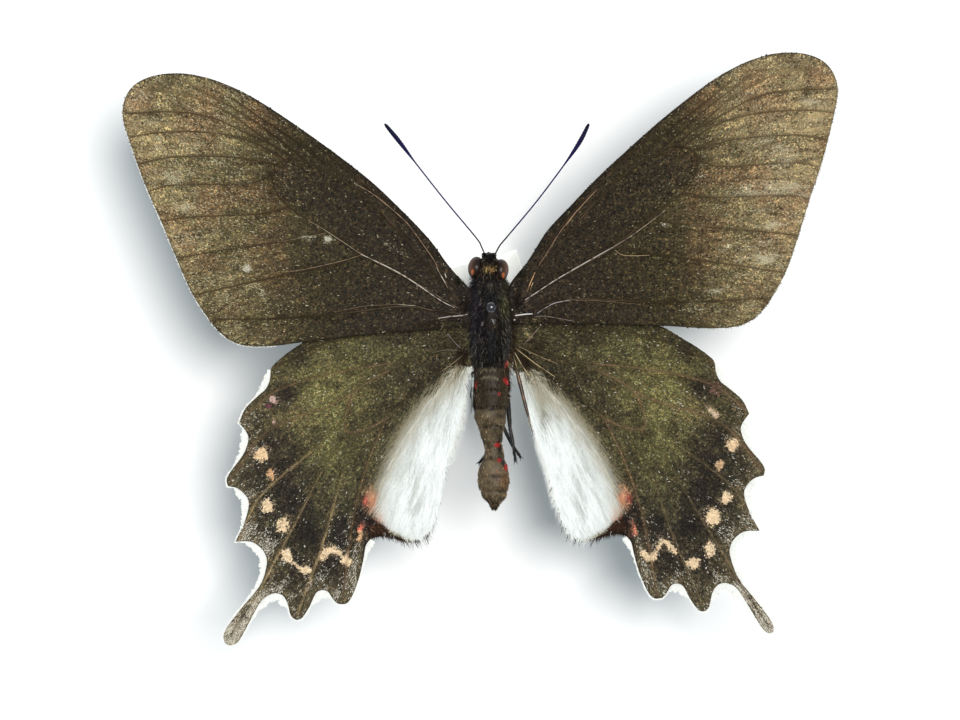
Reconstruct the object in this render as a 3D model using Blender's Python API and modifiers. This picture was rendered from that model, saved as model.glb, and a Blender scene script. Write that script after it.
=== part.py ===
"""A pinned swallowtail butterfly, wings spread, on its pin and foam block, at life size.

The script is in metres with +Z up. The head points to +Y, and the block's underside is at
z = 0 with the origin below the pin. Sizes are written in millimetres and scaled by MM.
"""

import math

import bmesh
import bpy
from mathutils import Matrix, Vector, geometry

MM = 0.001
GAP = 0.3  # kept between touching pieces

# heights over the floor
WING_Z = 24.0  # middle of the forewing at its root
HIND_DROP = 1.1  # hindwing root below the forewing root
BLOCK_HEIGHT = 11.0
PIN_TOP = 38.0

# body
BODY_X = 0.15  # midline of the thorax
PIN_XY = (0.2, 0.0)
PIN_RADIUS = 0.25
PIN_HEAD_RADIUS = 0.55
PIN_TIP_Z = 1.0
PIN_TAPER = 1.4
SECTION_POWER = 2.3  # superellipse of the body sections, 2 is an ellipse
BODY_SIDES = 20

# thorax sections from front to back: y, half width, top and bottom from the wing plane
THORAX_SECTIONS = [
    (2.0, 1.75, 0.55, -2.9),
    (1.3, 2.05, 1.10, -3.6),
    (0.4, 2.30, 1.55, -4.1),
    (-1.0, 2.40, 1.75, -4.4),
    (-2.3, 2.40, 1.50, -4.4),
    (-3.2, 2.35, 1.30, -4.3),
    (-4.4, 2.25, 0.95, -4.0),
    (-5.7, 2.05, 0.50, -3.4),
    (-6.9, 1.75, 0.15, -2.7),
]
COLLAR_SECTIONS = [
    (2.3, 1.70, 0.45, -2.6),
    (2.8, 1.75, 0.40, -2.4),
    (3.3, 1.55, 0.20, -2.1),
    (3.9, 1.10, -0.10, -1.8),
]
# abdomen sections: y, left edge, right edge, top and bottom from the wing plane
ABDOMEN_SECTIONS = [
    (-7.2, -1.65, 2.05, 0.10, -2.7),
    (-8.6, -1.65, 2.20, 0.15, -3.0),
    (-10.4, -1.50, 2.15, 0.00, -3.2),
    (-11.2, -1.55, 2.00, 0.00, -3.2),
    (-12.1, -1.70, 2.00, 0.05, -3.2),
    (-13.1, -1.30, 1.85, -0.25, -3.1),
    (-14.2, -0.95, 1.55, -0.55, -3.0),
    (-15.6, -0.50, 1.60, -0.80, -2.9),
    (-16.6, -0.65, 1.80, -0.70, -2.9),
    (-17.8, -1.15, 2.15, -0.45, -2.9),
    (-19.0, -1.35, 2.40, -0.40, -2.8),
    (-20.1, -1.15, 2.25, -0.55, -2.7),
    (-21.1, -0.80, 1.95, -0.80, -2.5),
    (-21.6, -0.20, 1.45, -1.05, -2.3),
    (-22.1, 0.10, 1.10, -1.25, -2.1),
    (-22.6, 0.35, 0.85, -1.45, -1.9),
]
SEGMENT_RINGS = (-9.2, -11.1, -13.1, -15.0, -16.9, -18.8, -20.5)
RING_DEPTH = 0.12
RING_WIDTH = 0.22

# head
HEAD_CENTRE = (-0.05, 4.75, -1.15)  # z from the wing plane
HEAD_RADII = (1.35, 1.2, 1.3)
HEAD_YAW = math.radians(-6)
EYE_OFFSET = (1.38, -0.25, 0.05)
EYE_RADII = (0.92, 1.28, 1.3)
ANTENNA_RADIUS = 0.25
CLUB_RADIUS = 0.4
ANTENNA_PATHS = {
    "left": [(-0.25, 5.6, -0.5), (-0.85, 7.0, 0.2), (-1.45, 8.0, 0.5), (-4.8, 12.0, 1.2),
             (-8.0, 16.05, 1.5), (-10.1, 18.8, 1.4), (-11.7, 20.75, 1.2)],
    "right": [(0.45, 5.7, -0.5), (1.2, 7.1, 0.2), (1.95, 8.0, 0.5), (5.3, 12.0, 1.2),
              (8.25, 15.9, 1.5), (10.1, 18.6, 1.4), (11.2, 20.75, 1.2)],
}
ANTENNA_CLUB_FROM = 0.72  # share of the length where the club starts to swell
PALP_PATH = [(0.42, 5.1, -1.9), (0.46, 5.75, -1.75), (0.48, 6.15, -1.2), (0.46, 6.3, -0.7)]
PALP_RADII = (0.36, 0.38, 0.34, 0.2)
COIL_CENTRE = (5.15, -3.95)  # y and z of the rolled tongue, under the head
COIL_RADII = (1.4, 0.38)
COIL_TURNS = 1.4
COIL_TUBE = 0.21

# wings: each is drawn once, X outwards from the body and y forwards, then placed on both sides
WING_THICKNESS = 0.5
VEIN_HEIGHT = 0.2
VEIN_STEP = 3.2
WING_FILL_STEP = 4.5
FOREWING_STEP = 1.5
HINDWING_STEP = 0.85
FOREWING_SLOPE, FOREWING_SAG = 0.065, 0.0005
HINDWING_SLOPE, HINDWING_SAG = 0.05, 0.0008
FOREWING_ROOT_Y = (1.7, -1.7)
HINDWING_ROOT_Y = (-1.0, -6.6)
# side: mirror, scale, yaw, shift, and how the hindwing's tail is turned inwards and narrowed
FOREWING_POSE = {"left": (-1, 1.0, 0.0, (-0.1, -0.08), (0.0, 1.0)),
                 "right": (1, 0.988, 4.14, (0.37, 0.10), (0.0, 1.0))}
HINDWING_POSE = {"left": (-1, 1.0, 0.0, (-0.1, 0.0), (0.0, 1.0)),
                 "right": (1, 0.9885, 3.37, (0.68, -0.77), (1.8, 0.66))}
# the right forewing's outer margin stands steeper: lean, middle of it in y, and x where it starts
MARGIN_LEAN, LEAN_MIDDLE, LEAN_FROM, LEAN_REACH = -0.026, 13.6, 20.0, 18.0
# and its front edge is trimmed: x, and how far it stands forwards there
FRONT_TRIM = [(19.0, 0.0), (15.0, -0.2), (12.0, -0.2), (9.0, 0.0), (6.5, 0.4), (2.0, 0.4)]
TRIM_BAND = 3.0
TAIL_ROOT, TAIL_WAY = (24.9, -30.6), (0.55, -0.835)
TAIL_HALF_WIDTH, TAIL_BEND_LENGTH = 2.0, 2.0

FOREWING_MARGIN = [
    [(2.7, 2.85), (4.0, 4.2), (5.0, 5.45), (6.8, 7.9), (10.0, 11.25), (14.0, 14.95), (20.0, 19.45),
     (26.0, 23.45), (30.0, 25.4), (33.0, 26.25), (35.0, 26.45), (37.0, 26.3), (38.7, 25.8),
     (40.0, 24.95), (40.8, 23.7), (41.1, 22.2), (40.9, 20.7), (40.05, 18.0), (38.6, 14.0),
     (36.85, 10.0), (35.2, 6.0), (33.5, 2.1), (31.9, -0.5), (30.4, -2.4), (28.9, -3.55),
     (27.0, -4.1), (24.0, -4.05), (19.4, -3.45), (12.2, -2.7), (6.0, -2.2), (3.5, -1.9)],
]
FOREWING_VEINS = {
    "subcosta": (0.62, [(3.3, 1.7), (5.4, 4.4), (8.6, 8.7), (12.0, 12.3), (16.0, 15.7), (19.3, 18.4)]),
    "radius": (0.66, [(3.5, 1.0), (6.6, 4.6), (10.0, 8.6), (13.0, 11.7), (15.9, 14.1), (19.9, 16.1),
                      (22.2, 17.0)]),
    "radial_1": (0.44, [(15.9, 14.1), (18.2, 16.3), (21.8, 18.9), (25.5, 21.3), (29.0, 23.7)]),
    "radial_2": (0.42, [(19.9, 16.1), (22.8, 18.4), (26.5, 21.2), (30.0, 23.3), (33.6, 25.2)]),
    "radial_3": (0.42, [(22.2, 17.0), (25.6, 19.4), (29.2, 22.0), (33.5, 23.8), (38.3, 24.6)]),
    "radial_4": (0.42, [(24.2, 18.4), (27.6, 19.9), (30.6, 21.3), (33.7, 22.0), (37.0, 22.1),
                        (40.2, 21.9)]),
    "radial_5": (0.42, [(23.0, 16.8), (26.0, 18.5), (29.7, 19.6), (34.0, 19.9), (37.7, 19.7),
                        (40.0, 19.3)]),
    "median_1": (0.44, [(23.9, 16.2), (27.6, 16.9), (31.0, 17.15), (36.0, 17.0), (39.0, 16.3)]),
    "median_2": (0.44, [(24.4, 15.0), (27.0, 14.1), (31.0, 14.0), (35.6, 13.9), (37.8, 13.3)]),
    "median_3": (0.46, [(22.5, 11.5), (25.5, 10.75), (30.0, 10.5), (34.0, 10.3), (36.3, 9.9)]),
    "cubital_1": (0.46, [(18.2, 8.75), (21.5, 8.0), (25.0, 7.35), (30.0, 6.6), (34.6, 5.8)]),
    "cubital_2": (0.46, [(14.3, 6.2), (17.5, 5.1), (21.7, 4.1), (27.0, 3.0), (32.7, 1.7)]),
    "cubitus": (0.7, [(3.8, 0.3), (7.8, 2.7), (10.5, 4.2), (14.3, 6.2), (18.2, 8.75), (22.5, 11.5),
                      (24.1, 13.5)]),
    "cell_end": (0.4, [(22.2, 17.0), (23.9, 16.2), (24.4, 15.0), (24.1, 13.5)]),
    "anal_1": (0.5, [(3.7, -0.4), (6.6, 0.0), (9.8, 0.35), (13.4, 0.0), (18.0, -0.6), (24.0, -1.0),
                     (30.6, -1.1)]),
    "anal_2": (0.4, [(3.7, -1.0), (5.6, -1.3), (8.0, -1.7)]),
}

HINDWING_MARGIN = [
    [(3.1, -0.8), (4.7, -0.5), (8.0, -0.2), (13.0, -0.5), (18.0, -1.9), (21.4, -4.0), (23.1, -5.2),
     (24.4, -6.35), (24.65, -6.9)],
    [(24.65, -6.9), (24.75, -8.0), (25.2, -9.0), (26.0, -9.7), (27.5, -11.2), (28.2, -12.8)],
    [(28.2, -12.8), (27.4, -13.8), (27.15, -14.7), (27.7, -16.3), (29.2, -18.35), (29.6, -19.2),
     (29.45, -19.9)],
    [(29.45, -19.9), (28.3, -20.2), (27.35, -21.1), (27.1, -22.1), (27.6, -24.0), (28.6, -26.15)],
    [(28.6, -26.15), (26.9, -26.15), (25.8, -26.8), (25.2, -27.7), (25.1, -28.8), (25.8, -31.0),
     (27.9, -33.6), (29.5, -35.7), (29.95, -36.8), (29.7, -37.6), (29.0, -37.8), (28.2, -37.3),
     (27.15, -35.4), (25.9, -33.1), (25.1, -32.3), (24.2, -31.95), (23.3, -32.2), (22.75, -33.1),
     (22.4, -34.4), (21.8, -34.95), (21.1, -34.7), (20.3, -33.5), (19.6, -32.0), (18.9, -31.6),
     (18.2, -31.8), (17.6, -32.7), (17.1, -33.15)],
    [(17.1, -33.15), (16.2, -33.15), (15.5, -32.3), (14.7, -30.2), (14.2, -28.0), (13.95, -26.6),
     (13.4, -25.85), (12.4, -25.6), (10.8, -25.8), (9.6, -26.15), (8.3, -26.3), (7.2, -25.9),
     (6.5, -24.9), (5.9, -22.9), (5.3, -20.4), (4.7, -17.6), (4.0, -15.0), (3.3, -12.4),
     (2.85, -10.2), (2.6, -8.6), (2.5, -7.4)],
]
HINDWING_VEINS = {
    "subcosta": (0.5, [(3.7, -3.0), (7.0, -2.2), (12.0, -2.2), (17.0, -3.3), (21.0, -5.0),
                       (24.2, -6.7)]),
    "radius": (0.55, [(3.6, -4.1), (8.0, -5.4), (11.3, -6.1), (16.0, -6.9), (20.0, -7.8),
                      (24.0, -9.2), (26.6, -11.2), (27.8, -12.5)]),
    "cell_front": (0.5, [(8.0, -5.4), (11.5, -7.0), (13.9, -8.4), (15.2, -9.4)]),
    "median_1": (0.44, [(15.2, -9.4), (18.1, -10.9), (21.8, -12.2), (25.2, -13.9), (27.4, -16.6),
                        (29.1, -19.2)]),
    "median_2": (0.44, [(16.3, -12.4), (19.0, -15.2), (22.0, -17.6), (25.6, -20.8), (27.0, -23.2),
                        (28.1, -25.7)]),
    "median_3": (0.5, [(16.1, -13.9), (19.1, -18.7), (21.8, -24.0), (24.2, -28.4), (26.0, -31.8),
                       (27.8, -34.5), (29.0, -36.6)]),
    "cubital_1": (0.46, [(13.9, -13.5), (16.2, -17.6), (17.9, -23.5), (19.4, -28.4), (20.6, -31.5),
                         (21.6, -34.3)]),
    "cubital_2": (0.46, [(11.6, -12.2), (13.6, -17.0), (15.0, -21.8), (15.8, -26.5), (16.3, -31.0),
                         (16.6, -32.7)]),
    "cubitus": (0.6, [(3.5, -5.3), (7.2, -7.9), (9.6, -10.3), (11.6, -12.2), (13.9, -13.5),
                      (16.1, -13.9)]),
    "cell_end": (0.4, [(15.2, -9.4), (15.8, -10.8), (16.3, -12.4), (16.1, -13.9)]),
    "anal": (0.5, [(3.3, -6.2), (6.4, -9.9), (9.6, -14.6), (12.0, -19.4), (13.3, -23.4),
                   (13.6, -25.4)]),
}

# legs: path of the joints from the hip to the claws, z from the wing plane, and limb radii
LEG_RADII = (0.5, 0.42, 0.36, 0.3, 0.26, 0.16)
LEG_PATHS = {
    "leg_front_left": [(-1.0, 1.1, -3.2), (-1.5, 0.7, -5.0), (-2.0, -2.6, -7.2), (-1.5, 2.0, -8.2),
                       (-1.3, -0.5, -8.9), (-1.2, -3.2, -9.0)],
    "leg_front_right": [(1.3, 1.1, -3.2), (1.8, 0.7, -5.0), (2.2, -2.6, -7.2), (1.8, 2.0, -8.2),
                        (1.6, -0.5, -8.9), (1.5, -3.2, -9.0)],
    "leg_middle_left": [(-0.9, -2.0, -3.6), (-1.2, -3.1, -5.2), (-1.8, -7.2, -6.9),
                        (-0.8, -12.6, -6.6), (-0.4, -14.9, -6.5), (-0.1, -17.2, -6.6)],
    "leg_middle_right": [(1.2, -2.0, -3.6), (1.5, -3.1, -5.2), (2.1, -7.2, -6.9),
                         (1.45, -12.9, -5.9), (2.5, -15.2, -5.6), (3.6, -16.8, -5.7)],
    "leg_hind_left": [(-0.8, -4.9, -3.2), (-1.1, -5.8, -4.4), (-1.9, -9.8, -5.2),
                      (-0.75, -13.8, -4.2), (-0.15, -16.3, -4.1), (-1.1, -17.4, -4.3)],
    "leg_hind_right": [(1.1, -4.9, -3.2), (1.4, -5.8, -4.4), (2.15, -10.3, -4.9),
                       (2.4, -13.5, -4.1), (2.8, -15.6, -4.1), (3.0, -17.2, -4.3)],
}

# foam block: the pin stands this far behind its front edge and left of its right edge
BLOCK_YAW = math.radians(16.4)
BLOCK_FRONT, BLOCK_BACK = 6.0, 7.0
BLOCK_HALF_WIDTH = 4.95
BLOCK_EDGE = 0.25


def clear_scene():
    for old in list(bpy.data.objects):
        bpy.data.objects.remove(old)


def new_collection(name):
    collection = bpy.data.collections.new(name)
    bpy.context.scene.collection.children.link(collection)
    return collection


def make_material(name, colour, roughness, metallic=0.0):
    material = bpy.data.materials.new(name)
    material.use_nodes = True
    shader = material.node_tree.nodes["Principled BSDF"]
    shader.inputs["Base Color"].default_value = (*colour, 1)
    shader.inputs["Roughness"].default_value = roughness
    shader.inputs["Metallic"].default_value = metallic
    return material


def add_object(name, bm, collection, material=None, smooth=True):
    """Turns a bmesh in millimetres into an object in metres."""
    bmesh.ops.scale(bm, vec=(MM, MM, MM), verts=bm.verts)
    bmesh.ops.recalc_face_normals(bm, faces=bm.faces)
    mesh = bpy.data.meshes.new(name)
    bm.to_mesh(mesh)
    bm.free()
    if smooth:
        mesh.shade_smooth()
        mesh.set_sharp_from_angle(angle=math.radians(40))
    if material:
        mesh.materials.append(material)
    piece = bpy.data.objects.new(name, mesh)
    collection.objects.link(piece)
    return piece


def make_cutter(name, bm):
    cutter = add_object(name, bm, bpy.data.collections["cutters"], smooth=False)
    cutter.hide_render = True
    cutter.display_type = "WIRE"
    return cutter


def cut(piece, *cutters):
    for cutter in cutters:
        modifier = piece.modifiers.new("clear_" + cutter.name, "BOOLEAN")
        modifier.operation = "DIFFERENCE"
        modifier.object = cutter


def smooth_points(points, step):
    """Points about one step apart on a Catmull-Rom curve through hand-set points."""
    points = [Vector(p) for p in points]
    ends = [2 * points[0] - points[1], *points, 2 * points[-1] - points[-2]]
    fine = [points[0]]
    pieces = 16
    for a, b, c, d in zip(ends, ends[1:], ends[2:], ends[3:]):
        for i in range(1, pieces + 1):
            t = i / pieces
            fine.append(0.5 * (2 * b + (c - a) * t + (2 * a - 5 * b + 4 * c - d) * t * t
                               + (3 * b - a - 3 * c + d) * t ** 3))
    lengths = [0.0]
    for a, b in zip(fine, fine[1:]):
        lengths.append(lengths[-1] + (b - a).length)
    count = max(1, round(lengths[-1] / step))
    placed, at = [], 0
    for i in range(count + 1):
        wanted = lengths[-1] * i / count
        while at < len(fine) - 2 and lengths[at + 1] < wanted:
            at += 1
        share = (wanted - lengths[at]) / max(lengths[at + 1] - lengths[at], 1e-9)
        placed.append(fine[at].lerp(fine[at + 1], min(1, share)))
    return placed


def between(rows, y):
    """The values of a table of sections, front to back, at one y."""
    for near, far in zip(rows, rows[1:]):
        if y >= far[0]:
            share = min(1, max(0, (near[0] - y) / (near[0] - far[0])))
            return [a + (b - a) * share for a, b in zip(near[1:], far[1:])]
    return list(rows[-1][1:])


def section_ring(centre_x, y, half_width, top, bottom, sides=BODY_SIDES):
    """One body section: a superellipse across the body."""
    half_height, middle = (top - bottom) / 2, WING_Z + (top + bottom) / 2
    ring = []
    for i in range(sides):
        angle = 2 * math.pi * i / sides
        across, up = math.cos(angle), math.sin(angle)
        power = 2 / SECTION_POWER
        ring.append(Vector((centre_x + half_width * math.copysign(abs(across) ** power, across), y,
                            middle + half_height * math.copysign(abs(up) ** power, up))))
    return ring


def loft(rings):
    """A closed skin over rings of equal count, with flat ends."""
    bm = bmesh.new()
    rows = [[bm.verts.new(p) for p in ring] for ring in rings]
    for row, after in zip(rows, rows[1:]):
        for i in range(len(row)):
            j = (i + 1) % len(row)
            bm.faces.new((row[i], row[j], after[j], after[i]))
    bm.faces.new(rows[0])
    bm.faces.new(list(reversed(rows[-1])))
    return bm


def thorax_mesh(grown=0.0):
    rings = []
    last = len(THORAX_SECTIONS) - 1
    for i, (y, half_width, top, bottom) in enumerate(THORAX_SECTIONS):
        y += grown * ((i == 0) - (i == last))
        rings.append(section_ring(BODY_X, y, half_width + grown, top + grown, bottom - grown))
    return loft(rings)


def thorax_side(y, height):
    """Half width of the thorax at this y, at a height from the wing plane."""
    half_width, top, bottom = between(THORAX_SECTIONS, y)
    up = abs(height - (top + bottom) / 2) / ((top - bottom) / 2)
    return half_width * max(0, 1 - up ** SECTION_POWER) ** (1 / SECTION_POWER)


def abdomen_mesh():
    """The abdomen has a groove at each segment's edge, and its sections lie off the midline."""
    ys = {row[0] for row in ABDOMEN_SECTIONS}
    for ring_y in SEGMENT_RINGS:
        ys |= {ring_y - RING_WIDTH, ring_y, ring_y + RING_WIDTH}
    rings = []
    for y in sorted(ys, reverse=True):
        left, right, top, bottom = between(ABDOMEN_SECTIONS, y)
        inset = RING_DEPTH if y in SEGMENT_RINGS else 0.0
        rings.append(section_ring((left + right) / 2, y, (right - left) / 2 - inset, top - inset,
                                  bottom + inset))
    return loft(rings)


def ellipsoid_mesh(centre, radii, segments, rings, yaw=0.0):
    bm = bmesh.new()
    bmesh.ops.create_uvsphere(bm, u_segments=segments, v_segments=rings, radius=1)
    place = Matrix.Translation(centre) @ Matrix.Rotation(yaw, 4, "Z") @ Matrix.Diagonal((*radii, 1))
    bmesh.ops.transform(bm, matrix=place, verts=bm.verts)
    return bm


def tube_object(name, path, radii, collection, material):
    """A closed tube with a radius at each point, made as a bevelled curve and turned into a mesh."""
    curve = bpy.data.curves.new(name + "_curve", "CURVE")
    curve.dimensions = "3D"
    curve.bevel_depth = MM
    curve.bevel_resolution = 2
    curve.use_fill_caps = True
    spline = curve.splines.new("POLY")
    spline.points.add(len(path) - 1)
    for point, place, radius in zip(spline.points, path, radii):
        point.co = (*(Vector(place) * MM), 1)
        point.radius = radius
    holder = bpy.data.objects.new(name + "_curve", curve)
    collection.objects.link(holder)
    graph = bpy.context.evaluated_depsgraph_get()
    mesh = bpy.data.meshes.new_from_object(holder.evaluated_get(graph))
    bpy.data.objects.remove(holder)
    bm = bmesh.new()
    bm.from_mesh(mesh)
    bmesh.ops.remove_doubles(bm, verts=bm.verts, dist=1e-6)
    bmesh.ops.recalc_face_normals(bm, faces=bm.faces)
    bm.to_mesh(mesh)
    bm.free()
    mesh.name = name
    mesh.shade_smooth()
    mesh.materials.clear()
    mesh.materials.append(material)
    piece = bpy.data.objects.new(name, mesh)
    collection.objects.link(piece)
    return piece


def shape_tail(point, angle, width):
    """Turns a point of the hindwing's tail about the tail's root and draws it to the middle."""
    root, way = Vector(TAIL_ROOT), Vector(TAIL_WAY)
    arm = Vector(point[:2]) - root
    along, off = arm.dot(way), way.cross(arm)
    if along <= 0 or abs(off) > TAIL_HALF_WIDTH:
        return root + arm
    share = min(1, along / TAIL_BEND_LENGTH)
    arm = way * along + Vector((-way.y, way.x)) * off * (1 - (1 - width) * share)
    arm.rotate(Matrix.Rotation(math.radians(-angle) * share, 2))
    return root + arm


def place_on_side(point, pose):
    """A point of a wing drawing, put on its side of the body."""
    mirror, scale, yaw, shift, tail = pose
    turned = shape_tail(point, *tail) * scale
    turned.rotate(Matrix.Rotation(math.radians(yaw), 2))
    placed = turned + Vector(shift)
    if pose is FOREWING_POSE["right"]:
        share = min(max((placed.x - LEAN_FROM) / LEAN_REACH, 0), 1)
        placed.x += MARGIN_LEAN * share * (placed.y - LEAN_MIDDLE)
        placed.y += between(FRONT_TRIM, placed.x)[0] * min(max(placed.y / TRIM_BAND, 0), 1)
    return Vector((placed.x * mirror, placed.y))


def root_edge(root_y, height, mirror, count=4):
    """The wing's edge along the thorax, the gap away from its side."""
    front, back = root_y
    ys = [back + (front - back) * i / count for i in range(count + 1)]
    return [Vector((BODY_X + mirror * (thorax_side(y, height) + GAP), y)) for y in ys]


def vein_lines(veins, pose):
    """Each vein as a list of points with half widths, tapering to its end."""
    lines = []
    for width, points in veins.values():
        centre = smooth_points([place_on_side(p, pose) for p in points], VEIN_STEP)
        last = len(centre) - 1
        lines.append([(p, width / 2 * (1 - 0.45 * i / last)) for i, p in enumerate(centre)])
    return lines


def ridge_height(point, lines):
    """Height of the vein ridge at a point of the wing, zero between the veins."""
    best = 0.0
    for line in lines:
        for (a, width_a), (b, width_b) in zip(line, line[1:]):
            along = b - a
            t = min(1, max(0, (point - a).dot(along) / along.length_squared))
            width = width_a + (width_b - width_a) * t
            off = (point - a - along * t).length
            if off < width:
                best = max(best, VEIN_HEIGHT * (1 - off / width))
    return best


def inside(point, loop):
    """Whether a point lies in a closed loop."""
    found = False
    for a, b in zip(loop, loop[1:] + loop[:1]):
        if (a.y > point.y) != (b.y > point.y):
            if point.x < a.x + (point.y - a.y) * (b.x - a.x) / (b.y - a.y):
                found = not found
    return found


def fill_points(loop, lines):
    """A loose grid inside the outline, clear of it and of the veins."""
    near = [p for line in lines for p, _ in line] + loop
    xs, ys = [p.x for p in loop], [p.y for p in loop]
    found = []
    for i in range(int((max(xs) - min(xs)) / WING_FILL_STEP) + 1):
        for j in range(int((max(ys) - min(ys)) / WING_FILL_STEP) + 1):
            p = Vector((min(xs) + i * WING_FILL_STEP, min(ys) + j * WING_FILL_STEP))
            clear = min((p - q).length for q in near) > WING_FILL_STEP * 0.4
            if clear and inside(p, loop):
                found.append(p)
    return found


def wing_layout(loop, lines):
    """Triangles over the wing that keep the outline, each vein's crest and both feet of it."""
    points, edges = list(loop), []
    for line in lines:
        rows = ([], [], [])
        for i, (p, width) in enumerate(line):
            ahead = line[min(i + 1, len(line) - 1)][0] - line[max(i - 1, 0)][0]
            side = Vector((-ahead.y, ahead.x)).normalized() * width
            for row, place in zip(rows, (p + side, p, p - side)):
                row.append(len(points))
                points.append(place)
        for row in rows:
            edges += list(zip(row, row[1:]))
    points += fill_points(loop, lines)
    outline = list(range(len(loop)))
    verts, _, faces, *_ = geometry.delaunay_2d_cdt(points, edges, [outline], 1, 0.03)
    return verts, faces


def wing_mesh(loop, lines, height):
    """A sheet with ridged veins: the same triangles above and below, joined round the edge."""
    verts, faces = wing_layout(loop, lines)
    bm = bmesh.new()
    above, below = [], []
    for p in verts:
        z = height(p)
        above.append(bm.verts.new((p.x, p.y, z + WING_THICKNESS / 2 + ridge_height(p, lines))))
        below.append(bm.verts.new((p.x, p.y, z - WING_THICKNESS / 2)))
    rim = {}
    for face in faces:
        a, b, c = (verts[i] for i in face)
        turn = (b - a).cross(c - a)
        order = face if turn > 0 else face[::-1]
        bm.faces.new([above[i] for i in order])
        bm.faces.new([below[i] for i in reversed(order)])
        for edge in zip(order, order[1:] + order[:1]):
            rim[tuple(sorted(edge))] = None if tuple(sorted(edge)) in rim else edge
    for edge in filter(None, rim.values()):
        i, j = edge
        bm.faces.new((above[j], above[i], below[i]))
        bm.faces.new((above[j], below[i], below[j]))
    return bm


def forewing_height(p):
    out = max(0, abs(p.x - BODY_X) - 2.5)
    return WING_Z + FOREWING_SLOPE * out - FOREWING_SAG * out * out


def hindwing_height(p):
    out = max(0, abs(p.x - BODY_X) - 2.5)
    return WING_Z - HIND_DROP + HINDWING_SLOPE * out - HINDWING_SAG * out * out


def build_wing(name, side, drawing, veins, step, pose, root_y, height, collection, material):
    mirror = pose[0]
    margin = []
    for stretch in drawing:
        margin += smooth_points([place_on_side(p, pose) for p in stretch], step)[:-1]
    margin.append(place_on_side(drawing[-1][-1], pose))
    root_height = height(Vector((BODY_X, 0))) - WING_Z
    loop = root_edge(root_y, root_height, mirror) + margin
    bm = wing_mesh(loop, vein_lines(veins, pose), height)
    add_object(f"{name}_{side}", bm, collection, material)


def build_wings(collection, wing_brown, wing_green):
    for side in ("left", "right"):
        build_wing("forewing", side, FOREWING_MARGIN, FOREWING_VEINS, FOREWING_STEP,
                   FOREWING_POSE[side], FOREWING_ROOT_Y, forewing_height, collection, wing_brown)
        build_wing("hindwing", side, HINDWING_MARGIN, HINDWING_VEINS, HINDWING_STEP,
                   HINDWING_POSE[side], HINDWING_ROOT_Y, hindwing_height, collection, wing_green)


def build_body(collection, black, brown, head_room, pin_hole):
    thorax = add_object("thorax", thorax_mesh(), collection, black)
    cut(thorax, pin_hole)
    rings = [section_ring(BODY_X - 0.1, *row) for row in COLLAR_SECTIONS]
    collar = add_object("collar", loft(rings), collection, black)
    cut(collar, *head_room)
    add_object("abdomen", abdomen_mesh(), collection, brown)


def build_pin_hole():
    """Room for the pin, through the thorax and down into the block."""
    bm = bmesh.new()
    floor_z, top_z = PIN_TIP_Z - GAP, WING_Z + 4
    place = Matrix.Translation((*PIN_XY, (floor_z + top_z) / 2))
    bmesh.ops.create_cone(bm, cap_ends=True, segments=16, radius1=PIN_RADIUS + GAP,
                          radius2=PIN_RADIUS + GAP, depth=top_z - floor_z, matrix=place)
    return make_cutter("pin_hole", bm)


def head_centre():
    x, y, z = HEAD_CENTRE
    return Vector((x, y, WING_Z + z))


def eye_centre(mirror):
    x, y, z = EYE_OFFSET
    return head_centre() + Matrix.Rotation(HEAD_YAW, 3, "Z") @ Vector((mirror * x, y, z))


def build_head(collection, black, eye_brown):
    """The head with its eyes in sockets. Returns the cutters that keep its neighbours clear."""
    head = add_object("head", ellipsoid_mesh(head_centre(), HEAD_RADII, 24, 16, HEAD_YAW),
                      collection, black)
    sockets = []
    for side, mirror in (("left", -1), ("right", 1)):
        centre = eye_centre(mirror)
        add_object("eye_" + side, ellipsoid_mesh(centre, EYE_RADII, 20, 12, HEAD_YAW),
                   collection, eye_brown)
        room = [r + GAP for r in EYE_RADII]
        sockets.append(make_cutter("socket_" + side, ellipsoid_mesh(centre, room, 20, 12, HEAD_YAW)))
    cut(head, *sockets)
    grown = [r + GAP for r in HEAD_RADII]
    grown_head = make_cutter("grown_head", ellipsoid_mesh(head_centre(), grown, 24, 16, HEAD_YAW))
    return [grown_head, *sockets]


def lifted(points):
    return [(x, y, WING_Z + z) for x, y, z in points]


def build_feelers(collection, black, head_room):
    for side, points in ANTENNA_PATHS.items():
        path = smooth_points(lifted(points), 1.1)
        radii = []
        for i in range(len(path)):
            share = i / (len(path) - 1)
            swell = max(0, (share - ANTENNA_CLUB_FROM) / (1 - ANTENNA_CLUB_FROM))
            club = math.sin(math.pi * min(1, swell * 0.93)) ** 0.7 if swell > 0 else 0
            radii.append(ANTENNA_RADIUS + (CLUB_RADIUS - ANTENNA_RADIUS) * club)
        radii[-1] = ANTENNA_RADIUS * 0.6
        cut(tube_object("antenna_" + side, path, radii, collection, black), *head_room)
    for side, mirror in (("left", -1), ("right", 1)):
        path = smooth_points(lifted([(mirror * x, y, z) for x, y, z in PALP_PATH]), 0.5)
        steps = len(path) - 1
        radii = [PALP_RADII[round(3 * i / steps)] for i in range(steps + 1)]
        cut(tube_object("palp_" + side, path, radii, collection, black), *head_room)


def build_tongue(collection, black, head_room):
    """The tongue rolled up under the head, starting at the mouth."""
    y, z = COIL_CENTRE
    outer, inner = COIL_RADII
    count = round(COIL_TURNS * 18)
    path = []
    for i in range(count + 1):
        angle = math.pi / 2 - 2 * math.pi * COIL_TURNS * i / count
        radius = outer + (inner - outer) * i / count
        path.append((HEAD_CENTRE[0], y + radius * math.cos(angle), WING_Z + z + radius * math.sin(angle)))
    radii = [COIL_TUBE] * len(path)
    cut(tube_object("tongue", path, radii, collection, black), *head_room)


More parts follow.
